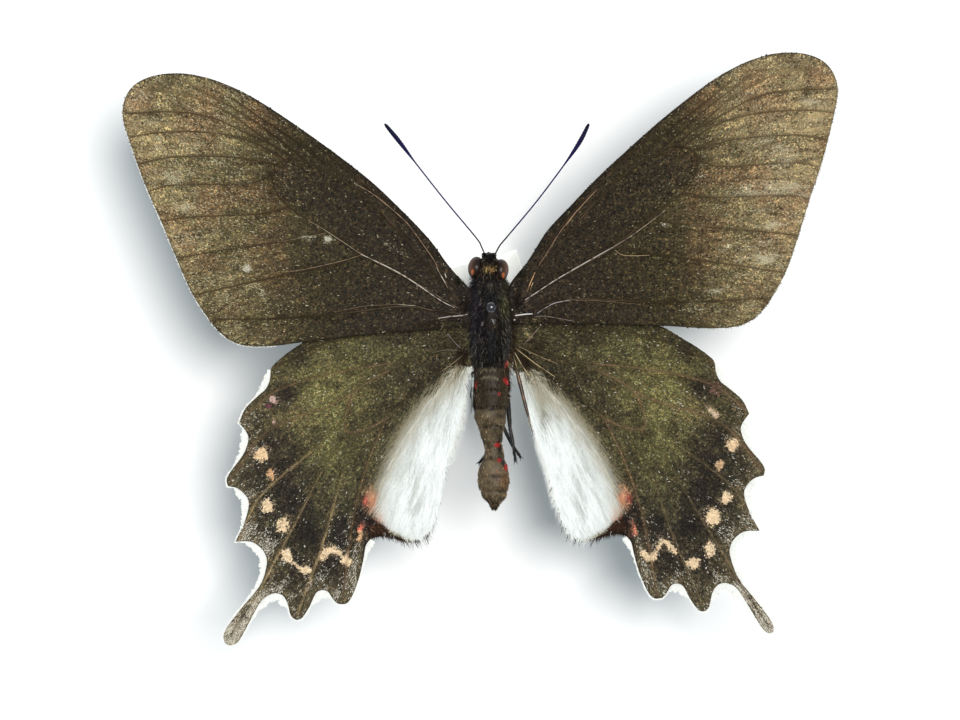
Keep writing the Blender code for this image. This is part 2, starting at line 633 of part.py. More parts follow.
def build_legs(collection, black, grown_thorax):
    for name, joints in LEG_PATHS.items():
        joints = [Vector(p) for p in lifted(joints)]
        path, radii = [joints[0]], [LEG_RADII[0]]
        for i, (a, b) in enumerate(zip(joints, joints[1:])):
            for t in (0.2, 0.5, 0.85, 1.0):
                path.append(a.lerp(b, t))
                belly = 1.12 if t == 0.5 else 1.0
                radii.append((LEG_RADII[i] + (LEG_RADII[i + 1] - LEG_RADII[i]) * t) * belly)
        cut(tube_object(name, path, radii, collection, black), grown_thorax)


def build_pin(collection, steel):
    """The pin is turned from its outline: a round head, a long shaft and a point."""
    profile = []
    for i in range(7):
        angle = math.pi / 2 - (math.pi / 2 + 1.0) * i / 6
        profile.append((PIN_HEAD_RADIUS * math.cos(angle),
                        PIN_TOP - PIN_HEAD_RADIUS * 0.8 * (1 - math.sin(angle))))
    profile[0] = (0, PIN_TOP)
    profile += [(PIN_RADIUS, PIN_TOP - 1.0), (PIN_RADIUS, PIN_TIP_Z + PIN_TAPER), (0, PIN_TIP_Z)]
    bm = bmesh.new()
    verts = [bm.verts.new((r, 0, z)) for r, z in profile]
    for a, b in zip(verts, verts[1:]):
        bm.edges.new((a, b))
    bmesh.ops.scale(bm, vec=(MM, MM, MM), verts=bm.verts)
    mesh = bpy.data.meshes.new("mount_pin")
    bm.to_mesh(mesh)
    bm.free()
    mesh.materials.append(steel)
    pin = bpy.data.objects.new("mount_pin", mesh)
    collection.objects.link(pin)
    pin.location = (PIN_XY[0] * MM, PIN_XY[1] * MM, 0)
    screw = pin.modifiers.new("turn", "SCREW")
    screw.steps = screw.render_steps = 16
    screw.use_merge_vertices = True
    screw.merge_threshold = 0.00001
    screw.use_smooth_shade = True


def build_block(collection, foam, pin_hole):
    """The foam block turned a little under the head, bored for the pin."""
    bm = bmesh.new()
    bmesh.ops.create_cube(bm, size=1)
    depth = BLOCK_FRONT + BLOCK_BACK
    bmesh.ops.scale(bm, vec=(2 * BLOCK_HALF_WIDTH, depth, BLOCK_HEIGHT), verts=bm.verts)
    bmesh.ops.translate(bm, vec=(0, (BLOCK_FRONT - BLOCK_BACK) / 2, BLOCK_HEIGHT / 2), verts=bm.verts)
    bmesh.ops.bevel(bm, geom=[e for e in bm.edges], offset=BLOCK_EDGE, segments=1, affect="EDGES")
    place = Matrix.Translation((*PIN_XY, 0)) @ Matrix.Rotation(BLOCK_YAW, 4, "Z")
    bmesh.ops.transform(bm, matrix=place, verts=bm.verts)
    block = add_object("mount_block", bm, collection, foam, smooth=False)
    cut(block, pin_hole)


def main():
    clear_scene()
    butterfly = new_collection("pinned_butterfly")
    new_collection("cutters")
    black = make_material("body_black", (0.015, 0.013, 0.014), 0.6)
    brown = make_material("abdomen_brown", (0.09, 0.06, 0.035), 0.7)
    eye_brown = make_material("eye_brown", (0.12, 0.05, 0.03), 0.25)
    wing_brown = make_material("forewing_brown", (0.07, 0.055, 0.03), 0.55)
    wing_green = make_material("hindwing_green", (0.055, 0.05, 0.022), 0.55)
    steel = make_material("pin_black", (0.01, 0.012, 0.03), 0.2, 0.5)
    foam = make_material("white_foam", (0.85, 0.85, 0.82), 0.8)
    pin_hole = build_pin_hole()
    grown_thorax = make_cutter("grown_thorax", thorax_mesh(GAP))
    head_room = build_head(butterfly, black, eye_brown)
    build_body(butterfly, black, brown, head_room, pin_hole)
    build_wings(butterfly, wing_brown, wing_green)
    build_feelers(butterfly, black, head_room)
    build_tongue(butterfly, black, head_room)
    build_legs(butterfly, black, grown_thorax)
    build_pin(butterfly, steel)
    build_block(butterfly, foam, pin_hole)


main()
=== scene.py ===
"""Looks of the pinned swallowtail: scaled wings, fringes, wool, fur, eyes, legs, pin and foam.

Sizes are in millimetres and turned into metres by MM where a mesh is made. A wing is drawn once,
with x outwards from the body and y forwards, and then placed on each side. Colours are written
as they show on screen in this light, and tone() turns them into surface colours.
"""

import math

import bmesh
import bpy
import numpy as np
from mathutils import Matrix, Vector, geometry


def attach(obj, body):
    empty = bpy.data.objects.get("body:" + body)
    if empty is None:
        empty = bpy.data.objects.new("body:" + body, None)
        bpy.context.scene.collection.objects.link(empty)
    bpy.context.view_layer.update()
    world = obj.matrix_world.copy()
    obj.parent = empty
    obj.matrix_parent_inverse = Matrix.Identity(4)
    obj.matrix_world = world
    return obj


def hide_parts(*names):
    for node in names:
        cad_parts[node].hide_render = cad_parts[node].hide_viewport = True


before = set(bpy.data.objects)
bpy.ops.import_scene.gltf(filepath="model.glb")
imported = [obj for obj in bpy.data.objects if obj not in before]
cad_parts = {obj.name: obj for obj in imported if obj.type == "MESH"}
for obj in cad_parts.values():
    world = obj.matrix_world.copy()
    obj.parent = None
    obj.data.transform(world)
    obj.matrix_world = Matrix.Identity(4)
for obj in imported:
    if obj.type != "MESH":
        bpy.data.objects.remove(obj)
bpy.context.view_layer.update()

MM = 0.001
LIGHT_GAIN, VEIL = 1.4, 0.006  # light on a level surface, and the sheen that it adds to any colour

# heights and places that the solids have as well
WING_Z = 24.0
HIND_DROP = 1.1
BODY_X = 0.15
PIN_XY = (0.2, 0.0)
PIN_TOP, PIN_TIP_Z = 38.0, 1.0
PIN_RADIUS, PIN_HEAD_RADIUS = 0.25, 0.55
BLOCK_HEIGHT, BLOCK_YAW = 11.0, math.radians(16.4)
BLOCK_FRONT, BLOCK_BACK, BLOCK_HALF_WIDTH = 6.0, 7.0, 4.95
HEAD_CENTRE, HEAD_YAW = (-0.05, 4.75, -1.15), math.radians(-6)
EYE_OFFSET, EYE_RADII = (1.38, -0.25, 0.05), (0.92, 1.28, 1.3)

# wing drawings
MEMBRANE = 0.16
VEIN_HEIGHT = 0.08
VEIN_WIDTH_SHARE = 0.4  # ridge of a real vein against the solid's
VEIN_TAPER = 0.45  # how much narrower a vein is at its end
SLOPE_FROM = 2.5  # distance from the midline where a wing begins to rise
FOREWING_SLOPE, FOREWING_SAG = 0.065, 0.0005
HINDWING_SLOPE, HINDWING_SAG = 0.05, 0.0008
# side: mirror, scale, yaw, shift, and how the hindwing's tail is turned inwards and narrowed
FOREWING_POSE = {"left": (-1, 1.0, 0.0, (-0.1, -0.08), (0.0, 1.0)),
                 "right": (1, 0.988, 4.14, (0.37, 0.10), (0.0, 1.0))}
HINDWING_POSE = {"left": (-1, 1.0, 0.0, (-0.1, 0.0), (0.0, 1.0)),
                 "right": (1, 0.9885, 3.37, (0.68, -0.77), (1.8, 0.66))}
# the right forewing's outer margin stands steeper: lean, middle of it in y, and x where it starts
MARGIN_LEAN, LEAN_MIDDLE, LEAN_FROM, LEAN_REACH = -0.026, 13.6, 20.0, 18.0
# and its front edge is trimmed: x, and how far it stands forwards there
FRONT_TRIM = [(19.0, 0.0), (15.0, -0.2), (12.0, -0.2), (9.0, 0.0), (6.5, 0.4), (2.0, 0.4)]
TRIM_BAND = 3.0
TAIL_ROOT, TAIL_WAY = (24.9, -30.6), (0.55, -0.835)
TAIL_HALF_WIDTH, TAIL_BEND_LENGTH = 2.0, 2.0

FOREWING_MARGIN = [
    [(2.7, 2.85), (4.0, 4.2), (5.0, 5.45), (6.8, 7.9), (10.0, 11.25), (14.0, 14.95), (20.0, 19.45),
     (26.0, 23.45), (30.0, 25.4), (33.0, 26.25), (35.0, 26.45), (37.0, 26.3), (38.7, 25.8),
     (40.0, 24.95), (40.8, 23.7), (41.1, 22.2), (40.9, 20.7), (40.05, 18.0), (38.6, 14.0),
     (36.85, 10.0), (35.2, 6.0), (33.5, 2.1), (31.9, -0.5), (30.4, -2.4), (28.9, -3.55),
     (27.0, -4.1), (24.0, -4.05), (19.4, -3.45), (12.2, -2.7), (6.0, -2.2), (3.5, -1.9)],
    [(3.5, -1.9), (2.1, -1.8), (1.9, 0.0), (2.0, 1.9), (2.7, 2.85)],
]
FOREWING_VEINS = {
    "subcosta": (0.62, [(3.3, 1.7), (5.4, 4.4), (8.6, 8.7), (12.0, 12.3), (16.0, 15.7), (19.3, 18.4)]),
    "radius": (0.66, [(3.5, 1.0), (6.6, 4.6), (10.0, 8.6), (13.0, 11.7), (15.9, 14.1), (19.9, 16.1),
                      (22.2, 17.0)]),
    "radial_1": (0.44, [(15.9, 14.1), (18.2, 16.3), (21.8, 18.9), (25.5, 21.3), (29.0, 23.7)]),
    "radial_2": (0.42, [(19.9, 16.1), (22.8, 18.4), (26.5, 21.2), (30.0, 23.3), (33.6, 25.2)]),
    "radial_3": (0.42, [(22.2, 17.0), (25.6, 19.4), (29.2, 22.0), (33.5, 23.8), (38.3, 24.6)]),
    "radial_4": (0.42, [(24.2, 18.4), (27.6, 19.9), (30.6, 21.3), (33.7, 22.0), (37.0, 22.1),
                        (40.2, 21.9)]),
    "radial_5": (0.42, [(23.0, 16.8), (26.0, 18.5), (29.7, 19.6), (34.0, 19.9), (37.7, 19.7),
                        (40.0, 19.3)]),
    "median_1": (0.44, [(23.9, 16.2), (27.6, 16.9), (31.0, 17.15), (36.0, 17.0), (39.0, 16.3)]),
    "median_2": (0.44, [(24.4, 15.0), (27.0, 14.1), (31.0, 14.0), (35.6, 13.9), (37.8, 13.3)]),
    "median_3": (0.46, [(22.5, 11.5), (25.5, 10.75), (30.0, 10.5), (34.0, 10.3), (36.3, 9.9)]),
    "cubital_1": (0.46, [(18.2, 8.75), (21.5, 8.0), (25.0, 7.35), (30.0, 6.6), (34.6, 5.8)]),
    "cubital_2": (0.46, [(14.3, 6.2), (17.5, 5.1), (21.7, 4.1), (27.0, 3.0), (32.7, 1.7)]),
    "cubitus": (0.7, [(3.8, 0.3), (7.8, 2.7), (10.5, 4.2), (14.3, 6.2), (18.2, 8.75), (22.5, 11.5),
                      (24.1, 13.5)]),
    "cell_end": (0.4, [(22.2, 17.0), (23.9, 16.2), (24.4, 15.0), (24.1, 13.5)]),
    "anal_1": (0.5, [(3.7, -0.4), (6.6, 0.0), (9.8, 0.35), (13.4, 0.0), (18.0, -0.6), (24.0, -1.0),
                     (30.6, -1.1)]),
    "anal_2": (0.4, [(3.7, -1.0), (5.6, -1.3), (8.0, -1.7)]),
}
FOREWING_FAN = ("radial_4", "radial_5", "median_1", "median_2", "median_3", "cubital_1", "cubital_2",
                "anal_1")
FOREWING_CELL = [(3.6, 0.4), (7.8, 2.9), (10.5, 4.4), (14.3, 6.4), (18.2, 9.0), (22.3, 11.8),
                 (24.0, 13.5), (24.2, 15.0), (22.2, 16.8), (19.9, 15.9), (15.9, 13.9), (10.0, 8.4),
                 (6.6, 4.4), (4.0, 1.2)]

HINDWING_MARGIN = [
    [(3.1, -0.8), (4.7, -0.5), (8.0, -0.2), (13.0, -0.5), (18.0, -1.9), (21.4, -4.0), (23.1, -5.2),
     (24.4, -6.35), (24.65, -6.9)],
    [(24.65, -6.9), (24.75, -8.0), (25.2, -9.0), (26.0, -9.7), (27.5, -11.2), (28.2, -12.8)],
    [(28.2, -12.8), (27.4, -13.8), (27.15, -14.7), (27.7, -16.3), (29.2, -18.35), (29.6, -19.2),
     (29.45, -19.9)],
    [(29.45, -19.9), (28.3, -20.2), (27.35, -21.1), (27.1, -22.1), (27.6, -24.0), (28.6, -26.15)],
    [(28.6, -26.15), (26.9, -26.15), (25.8, -26.8), (25.2, -27.7), (25.1, -28.8), (25.8, -31.0),
     (27.9, -33.6), (29.5, -35.7), (29.95, -36.8), (29.7, -37.6), (29.0, -37.8), (28.2, -37.3),
     (27.15, -35.4), (25.9, -33.1), (25.1, -32.3), (24.2, -31.95), (23.3, -32.2), (22.75, -33.1),
     (22.4, -34.4), (21.8, -34.95), (21.1, -34.7), (20.3, -33.5), (19.6, -32.0), (18.9, -31.6),
     (18.2, -31.8), (17.6, -32.7), (17.1, -33.15)],
    [(17.1, -33.15), (16.2, -33.15), (15.5, -32.3), (14.7, -30.2), (14.2, -28.0), (13.95, -26.6),
     (13.4, -25.85)],
    [(13.4, -25.85), (12.4, -25.6), (10.8, -25.8), (9.6, -26.15), (8.3, -26.3), (7.2, -25.9),
     (6.5, -24.9), (5.9, -22.9), (5.3, -20.4), (4.7, -17.6), (4.0, -15.0), (3.3, -12.4),
     (2.85, -10.2), (2.6, -8.6), (2.5, -7.4)],
    [(2.5, -7.4), (1.7, -6.6), (1.9, -4.5), (2.0, -1.2), (3.1, -0.8)],
]
HINDWING_VEINS = {
    "subcosta": (0.5, [(3.7, -3.0), (7.0, -2.2), (12.0, -2.2), (17.0, -3.3), (21.0, -5.0),
                       (24.2, -6.7)]),
    "radius": (0.55, [(3.6, -4.1), (8.0, -5.4), (11.3, -6.1), (16.0, -6.9), (20.0, -7.8),
                      (24.0, -9.2), (26.6, -11.2), (27.8, -12.5)]),
    "cell_front": (0.5, [(8.0, -5.4), (11.5, -7.0), (13.9, -8.4), (15.2, -9.4)]),
    "median_1": (0.44, [(15.2, -9.4), (18.1, -10.9), (21.8, -12.2), (25.2, -13.9), (27.4, -16.6),
                        (29.1, -19.2)]),
    "median_2": (0.44, [(16.3, -12.4), (19.0, -15.2), (22.0, -17.6), (25.6, -20.8), (27.0, -23.2),
                        (28.1, -25.7)]),
    "median_3": (0.5, [(16.1, -13.9), (19.1, -18.7), (21.8, -24.0), (24.2, -28.4), (26.0, -31.8),
                       (27.8, -34.5), (29.0, -36.6)]),
    "cubital_1": (0.46, [(13.9, -13.5), (16.2, -17.6), (17.9, -23.5), (19.4, -28.4), (20.6, -31.5),
                         (21.6, -34.3)]),
    "cubital_2": (0.46, [(11.6, -12.2), (13.6, -17.0), (15.0, -21.8), (15.8, -26.5), (16.3, -31.0),
                         (16.6, -32.7)]),
    "cubitus": (0.6, [(3.5, -5.3), (7.2, -7.9), (9.6, -10.3), (11.6, -12.2), (13.9, -13.5),
                      (16.1, -13.9)]),
    "cell_end": (0.4, [(15.2, -9.4), (15.8, -10.8), (16.3, -12.4), (16.1, -13.9)]),
    "anal": (0.5, [(3.3, -6.2), (6.4, -9.9), (9.6, -14.6), (12.0, -19.4), (13.3, -23.4),
                   (13.6, -25.4)]),
}
HINDWING_FAN = ("radius", "median_1", "median_2", "median_3", "cubital_1", "cubital_2")
# edge of the white wool on the fold along the hindwing's inner margin, from the root to the end
WOOL_EDGE = [(3.0, -6.3), (5.3, -8.6), (7.5, -10.9), (9.4, -13.8), (10.9, -16.8), (11.9, -19.6),
             (12.5, -21.9), (12.2, -23.4), (11.2, -24.7), (9.9, -25.7), (9.4, -26.4)]
WOOL_HUB = (1.2, 2.0)  # where the lines of the wool would meet

# body skin, front to back: y, middle x, half width, top and bottom from the wing plane
BODY_SECTIONS = [
    (5.95, 0.12, 0.12, -0.85, -1.25),
    (5.80, 0.10, 0.45, -0.50, -1.70),
    (5.40, 0.06, 0.85, -0.12, -2.10),
    (4.80, 0.00, 1.12, 0.05, -2.35),
    (4.20, -0.03, 1.25, 0.08, -2.35),
    (3.60, 0.00, 1.25, -0.02, -2.10),
    (3.20, 0.03, 1.35, 0.08, -2.05),
    (2.70, 0.08, 1.55, 0.28, -2.35),
    (2.10, 0.12, 1.65, 0.42, -2.70),
    (1.30, 0.15, 1.90, 0.95, -3.45),
    (0.40, 0.15, 2.12, 1.35, -3.95),
    (-1.00, 0.15, 2.22, 1.55, -4.25),
    (-2.30, 0.15, 2.22, 1.32, -4.25),
    (-3.20, 0.15, 2.17, 1.12, -4.15),
    (-4.40, 0.15, 2.08, 0.78, -3.85),
    (-5.70, 0.15, 1.88, 0.35, -3.25),
    (-6.60, 0.15, 1.60, 0.02, -2.70),
    (-7.00, 0.19, 1.66, -0.10, -2.50),
    (-7.50, 0.22, 1.78, 0.00, -2.70),
    (-8.60, 0.27, 1.86, 0.08, -2.92),
    (-10.40, 0.32, 1.76, -0.07, -3.12),
    (-11.20, 0.22, 1.70, -0.07, -3.12),
    (-12.10, 0.15, 1.77, -0.02, -3.12),
    (-13.10, 0.27, 1.50, -0.32, -3.02),
    (-14.20, 0.30, 1.18, -0.62, -2.92),
    (-15.60, 0.55, 0.98, -0.87, -2.82),
    (-16.60, 0.57, 1.16, -0.77, -2.82),
    (-17.80, 0.50, 1.58, -0.52, -2.82),
    (-19.00, 0.52, 1.80, -0.47, -2.72),
    (-20.10, 0.55, 1.63, -0.62, -2.62),
    (-21.10, 0.57, 1.30, -0.87, -2.42),
    (-21.60, 0.62, 0.76, -1.10, -2.25),
    (-22.10, 0.60, 0.45, -1.30, -2.05),
    (-22.60, 0.60, 0.12, -1.60, -1.80),
]
SEGMENT_RINGS = (-9.2, -11.1, -13.1, -15.0, -16.9, -18.8, -20.5)
WAIST_Y = -6.7
BODY_SIDES, BODY_STEP = 64, 0.16
SECTION_POWER = 2.25

ANTENNA_PATHS = {
    "left": [(-0.25, 5.6, -0.5), (-0.85, 7.0, 0.2), (-1.45, 8.0, 0.5), (-4.8, 12.0, 1.2),
             (-8.0, 16.05, 1.5), (-10.1, 18.8, 1.4), (-11.7, 20.75, 1.2)],
    "right": [(0.45, 5.7, -0.5), (1.2, 7.1, 0.2), (1.95, 8.0, 0.5), (5.3, 12.0, 1.2),
              (8.25, 15.9, 1.5), (10.1, 18.6, 1.4), (11.2, 20.75, 1.2)],
}
PALP_PATH = [(0.42, 5.0, -1.9), (0.46, 5.7, -1.75), (0.48, 6.1, -1.2), (0.46, 6.25, -0.75)]
COIL_CENTRE, COIL_RADII, COIL_TURNS = (5.15, -3.95), (1.4, 0.38), 1.4
PALP_BRISTLES, LEG_BRISTLES = 500, 450  # how many on each
LEG_RADII = (0.46, 0.34, 0.26, 0.19, 0.15, 0.1)
LEG_PATHS = {
    "leg_front_left": [(-1.0, 1.1, -3.2), (-1.5, 0.7, -5.0), (-2.0, -2.6, -7.2), (-1.5, 2.0, -8.2),
                       (-1.3, -0.5, -8.9), (-1.2, -3.2, -9.0)],
    "leg_front_right": [(1.3, 1.1, -3.2), (1.8, 0.7, -5.0), (2.2, -2.6, -7.2), (1.8, 2.0, -8.2),
                        (1.6, -0.5, -8.9), (1.5, -3.2, -9.0)],
    "leg_middle_left": [(-0.9, -2.0, -3.6), (-1.2, -3.1, -5.2), (-1.8, -7.2, -6.9),
                        (-0.8, -12.6, -6.6), (-0.4, -14.9, -6.5), (-0.1, -17.2, -6.6)],
    "leg_middle_right": [(1.2, -2.0, -3.6), (1.5, -3.1, -5.2), (2.1, -7.2, -6.9),
                         (1.45, -12.9, -5.9), (2.5, -15.2, -5.6), (3.6, -16.8, -5.7)],
    "leg_hind_left": [(-0.8, -4.9, -3.2), (-1.1, -5.8, -4.4), (-1.9, -9.8, -5.2),
                      (-0.75, -13.8, -4.2), (-0.15, -16.3, -4.1), (-1.1, -17.4, -4.3)],
    "leg_hind_right": [(1.1, -4.9, -3.2), (1.4, -5.8, -4.4), (2.15, -10.3, -4.9),
                       (2.4, -13.5, -4.1), (2.8, -15.6, -4.1), (3.0, -17.2, -4.3)],
}

# camera and light
CAMERA_XY, CAMERA_OVER_WINGS = (-1.01, -5.73), 450.0
VIEW_WIDTH = 107.87  # of the wing plane, across the picture
SHADOW_SHIFT = (-4.1, -2.3)  # of a wing's shadow on the floor
SUN_STRENGTH, SUN_SIZE = 2.95, math.radians(19)
SUN_COLOUR = (1.0, 0.97, 0.94)
SKY = (0.435, 0.505, 0.54)
FOAM_PAINTED_GLOW = 0.3  # painted glow: light that the foam gives off itself, standing in for light that seeps through it


def tone(screen):
    """Surface colours that show as these screen colours, 0 to 255, in this scene's light."""
    share = np.clip(np.asarray(screen, float), 0, 300) / 255
    linear = np.where(share <= 0.04045, share / 12.92, ((share + 0.055) / 1.055) ** 2.4)
    return np.clip((linear - VEIL) / LIGHT_GAIN, 0.002, 0.92)


def mixed(colours, other, share):
    """Screen colours drawn towards another one by a share for each point."""
    share = np.clip(share, 0, 1)[:, None]
    return colours * (1 - share) + np.asarray(other, float) * share


def ramp(values, stops):
    """Screen colours along a list of (value, colour) stops."""
    at = [s[0] for s in stops]
    return np.stack([np.interp(values, at, [s[1][i] for s in stops]) for i in range(3)], 1)


def cloud(points, size, seed):
    """Smooth random values from 0 to 1 over a drawing, in blotches of about this size."""
    lattice = np.random.default_rng(seed).random((64, 64))
    place = np.asarray(points, float)[:, :2] / size + 500
    cell = np.floor(place).astype(int)
    part = place - cell
    part = part * part * (3 - 2 * part)
    x0, y0 = cell.T % 64
    x1, y1 = (x0 + 1) % 64, (y0 + 1) % 64
    low = lattice[x0, y0] * (1 - part[:, 0]) + lattice[x1, y0] * part[:, 0]
    high = lattice[x0, y1] * (1 - part[:, 0]) + lattice[x1, y1] * part[:, 0]
    return low * (1 - part[:, 1]) + high * part[:, 1]


def step(values, low, high):
    """A smooth step from 0 at low to 1 at high."""
    t = np.clip((values - low) / (high - low), 0, 1)
    return t * t * (3 - 2 * t)


def unit(vectors):
    """Vectors brought to length one."""
    return vectors / np.maximum(np.linalg.norm(vectors, axis=-1, keepdims=True), 1e-9)


def rotated(vectors, angles):
    """Plane vectors turned by one angle, or by an angle each."""
    c, s = np.cos(angles), np.sin(angles)
    return np.stack([vectors[:, 0] * c - vectors[:, 1] * s, vectors[:, 0] * s + vectors[:, 1] * c], 1)


def picked(kept, *arrays):
    """The kept rows of each array."""
    return [values[kept] for values in arrays]


def framed(places):
    """Places from 0 to 1 on the unwrap, drawn in a little from its edge."""
    return 0.02 + 0.96 * places


def curve(points, spacing):
    """Points about one spacing apart on a Catmull-Rom curve through given points."""
    points = np.asarray(points, float)
    ends = np.vstack([2 * points[0] - points[1], points, 2 * points[-1] - points[-2]])
    t = np.linspace(0, 1, 17)[1:, None]
    fine = [points[:1]]
    for a, b, c, d in zip(ends, ends[1:], ends[2:], ends[3:]):
        fine.append(0.5 * (2 * b + (c - a) * t + (2 * a - 5 * b + 4 * c - d) * t ** 2
                           + (3 * b - a - 3 * c + d) * t ** 3))
    fine = np.vstack(fine)
    length = np.concatenate([[0], np.cumsum(np.linalg.norm(np.diff(fine, axis=0), axis=1))])
    count = max(1, round(length[-1] / spacing))
    at = np.linspace(0, length[-1], count + 1)
    return np.stack([np.interp(at, length, fine[:, i]) for i in range(fine.shape[1])], 1)


def nearest(points, lines):
    """For each point: distance to the nearest stretch of some lines, the line, how far along, and where."""
    starts = np.vstack([line[:-1] for line in lines]).astype(np.float32)
    ways = np.vstack([np.diff(line, axis=0) for line in lines]).astype(np.float32)
    owner = np.concatenate([np.full(len(line) - 1, i) for i, line in enumerate(lines)])
    along = np.concatenate([np.arange(len(line) - 1) / (len(line) - 1) for line in lines])
    part = np.concatenate([np.full(len(line) - 1, 1 / (len(line) - 1)) for line in lines])
    square = np.maximum((ways ** 2).sum(1), 1e-10)
    count = len(points)
    distance, which, where = np.empty(count), np.empty(count, int), np.empty(count)
    foot = np.empty((count, 2))
    for i in range(0, count, 4096):
        here = points[i:i + 4096].astype(np.float32)
        x, y = here[:, :1] - starts[:, 0], here[:, 1:] - starts[:, 1]
        t = np.clip((x * ways[:, 0] + y * ways[:, 1]) / square, 0, 1)
        x -= ways[:, 0] * t
        y -= ways[:, 1] * t
        off = x * x + y * y
        best = off.argmin(1)
        rows = np.arange(len(best))
        distance[i:i + 4096] = np.sqrt(off[rows, best])
        which[i:i + 4096] = owner[best]
        where[i:i + 4096] = along[best] + part[best] * t[rows, best]
        foot[i:i + 4096] = starts[best] + ways[best] * t[rows, best][:, None]
    return distance, which, where, foot


def inside(points, loop):
    """Whether each point lies in a closed loop."""
    found = np.zeros(len(points), bool)
    for a, b in zip(loop, np.roll(loop, -1, axis=0)):
        if a[1] == b[1]:
            continue
        spans = (a[1] > points[:, 1]) != (b[1] > points[:, 1])
        cross = a[0] + (points[:, 1] - a[1]) * (b[0] - a[0]) / (b[1] - a[1])
        found ^= spans & (points[:, 0] < cross)
    return found


def scatter(loop, spacing, seed):
    """Points spread over a closed loop on a shaken grid."""
    rng = np.random.default_rng(seed)
    low, high = loop.min(0), loop.max(0)
    xs = np.arange(low[0], high[0], spacing)
    ys = np.arange(low[1], high[1], spacing)
    grid = np.stack(np.meshgrid(xs, ys), 2).reshape(-1, 2)
    grid += rng.uniform(-0.5, 0.5, grid.shape) * spacing
    return grid[inside(grid, loop)]


def mesh_piece(name, verts, faces, colours=None, places=None, smooth=True):
    """A piece from arrays: vertices in millimetres, triangles or quads, colours and an unwrap."""
    mesh = bpy.data.meshes.new(name)
    sides = faces.shape[1]
    mesh.vertices.add(len(verts))
    mesh.vertices.foreach_set("co", (verts * MM).astype(np.float32).ravel())
    mesh.loops.add(faces.size)
    mesh.loops.foreach_set("vertex_index", faces.astype(np.int32).ravel())
    mesh.polygons.add(len(faces))
    mesh.polygons.foreach_set("loop_start", np.arange(0, faces.size, sides, dtype=np.int32))
    mesh.polygons.foreach_set("use_smooth", np.full(len(faces), smooth))
    if colours is not None:
        tint = mesh.color_attributes.new("Tint", "FLOAT_COLOR", "POINT")
        rgba = np.ones((len(verts), 4), np.float32)
        rgba[:, :3] = tone(colours)
        tint.data.foreach_set("color", rgba.ravel())
    if places is not None:
        layer = mesh.uv_layers.new(name="OFBake")
        layer.uv.foreach_set("vector", places[faces.ravel()].astype(np.float32).ravel())
    mesh.update(calc_edges=True)
    mesh.validate()
    piece = bpy.data.objects.new(name, mesh)
    bpy.context.scene.collection.objects.link(piece)
    return piece


def dress(piece, material, slot, *nodes):
    """Finishes a piece: its material, its body and the solids that it stands for; its slot is not used."""
    piece.data.materials.append(material)
    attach(piece, "root")
    if nodes:
        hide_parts(*nodes)
    return piece


# A tuft is a closed solid: rows of (share along it, offset across, offset up), and its triangles.
SCALE_ROWS = np.array([(0.0, 0.0, 0.0), (1.0, -0.5, 0.0), (1.0, 0.5, 0.0), (0.85, 0.0, -0.5)])
SCALE_FACES = np.array([(0, 1, 2), (0, 3, 1), (1, 3, 2), (2, 3, 0)])
PATCH = 0.003  # width of a tuft's patch on the unwrap


def hair_shape(bends):
    """A tapered three-sided hair with this many bends, ending in a point."""
    rows, faces = [], [(0, 2, 1)]
    for i in range(bends + 1):
        t = i / (bends + 1)
        width = (1 - t) ** 0.6
        rows += [(t, -0.5 * width, -0.29 * width), (t, 0.5 * width, -0.29 * width), (t, 0.0, 0.58 * width)]
    rows.append((1.0, 0.0, 0.0))
    for i in range(bends):
        for j in range(3):
            a, b = 3 * i + j, 3 * i + (j + 1) % 3
            faces += [(a, b, b + 3), (a, b + 3, a + 3)]
    last = 3 * bends
    faces += [(last + j, last + (j + 1) % 3, last + 3) for j in range(3)]
    return np.array(rows), np.array(faces)


def tufts(name, shape, roots, ways, ups, lengths, widths, colours, tips, places, bends=None):
    """Many closed tufts in one piece, each from its root along its way, curving by its bend."""
    rows, faces = shape
    across = unit(np.cross(ways, ups))
    lifts = unit(np.cross(across, ways))
    t = rows[:, 0][None, :, None]
    verts = roots[:, None] + ways[:, None] * t * lengths[:, None, None]
    verts = verts + across[:, None] * (rows[:, 1][None, :] * widths[:, None])[:, :, None]
    verts = verts + lifts[:, None] * (rows[:, 2][None, :] * widths[:, None])[:, :, None]
    if bends is not None:
        verts = verts + bends[:, None] * (t ** 2) * lengths[:, None, None]
    count, size = len(roots), len(rows)
    every = (np.arange(count) * size)[:, None, None] + faces[None]
    shades = colours[:, None] * (1 - t) + tips[:, None] * t
    corner = np.stack([rows[:, 1], rows[:, 0] - 0.5], 1) * PATCH
    unwrap = places[:, None] + corner[None]
    return mesh_piece(name, verts.reshape(-1, 3), every.reshape(-1, 3), shades.reshape(-1, 3),
                      np.clip(unwrap, 0, 1).reshape(-1, 2), smooth=False)


def add_node(tree, kind, **inputs):
    """A new node with some of its inputs set, an underscore in a name standing for a space."""
    made = tree.nodes.new(kind)
    for key, value in inputs.items():
        made.inputs[key.replace("_", " ")].default_value = value
    return made


def grained(name, roughness, specular, grain_size, detail):
    """A new material, its shader, and noise of this grain size over the piece's own places."""
    material = bpy.data.materials.new(name)
    material.use_nodes = True
    tree = material.node_tree
    shader = tree.nodes["Principled BSDF"]
    shader.inputs["Roughness"].default_value = roughness
    shader.inputs["Specular IOR Level"].default_value = specular
    place = tree.nodes.new("ShaderNodeTexCoord")
    noise = add_node(tree, "ShaderNodeTexNoise", Scale=1 / (grain_size * MM), Detail=detail)
    tree.links.new(place.outputs["Object"], noise.inputs["Vector"])
    return material, shader, noise


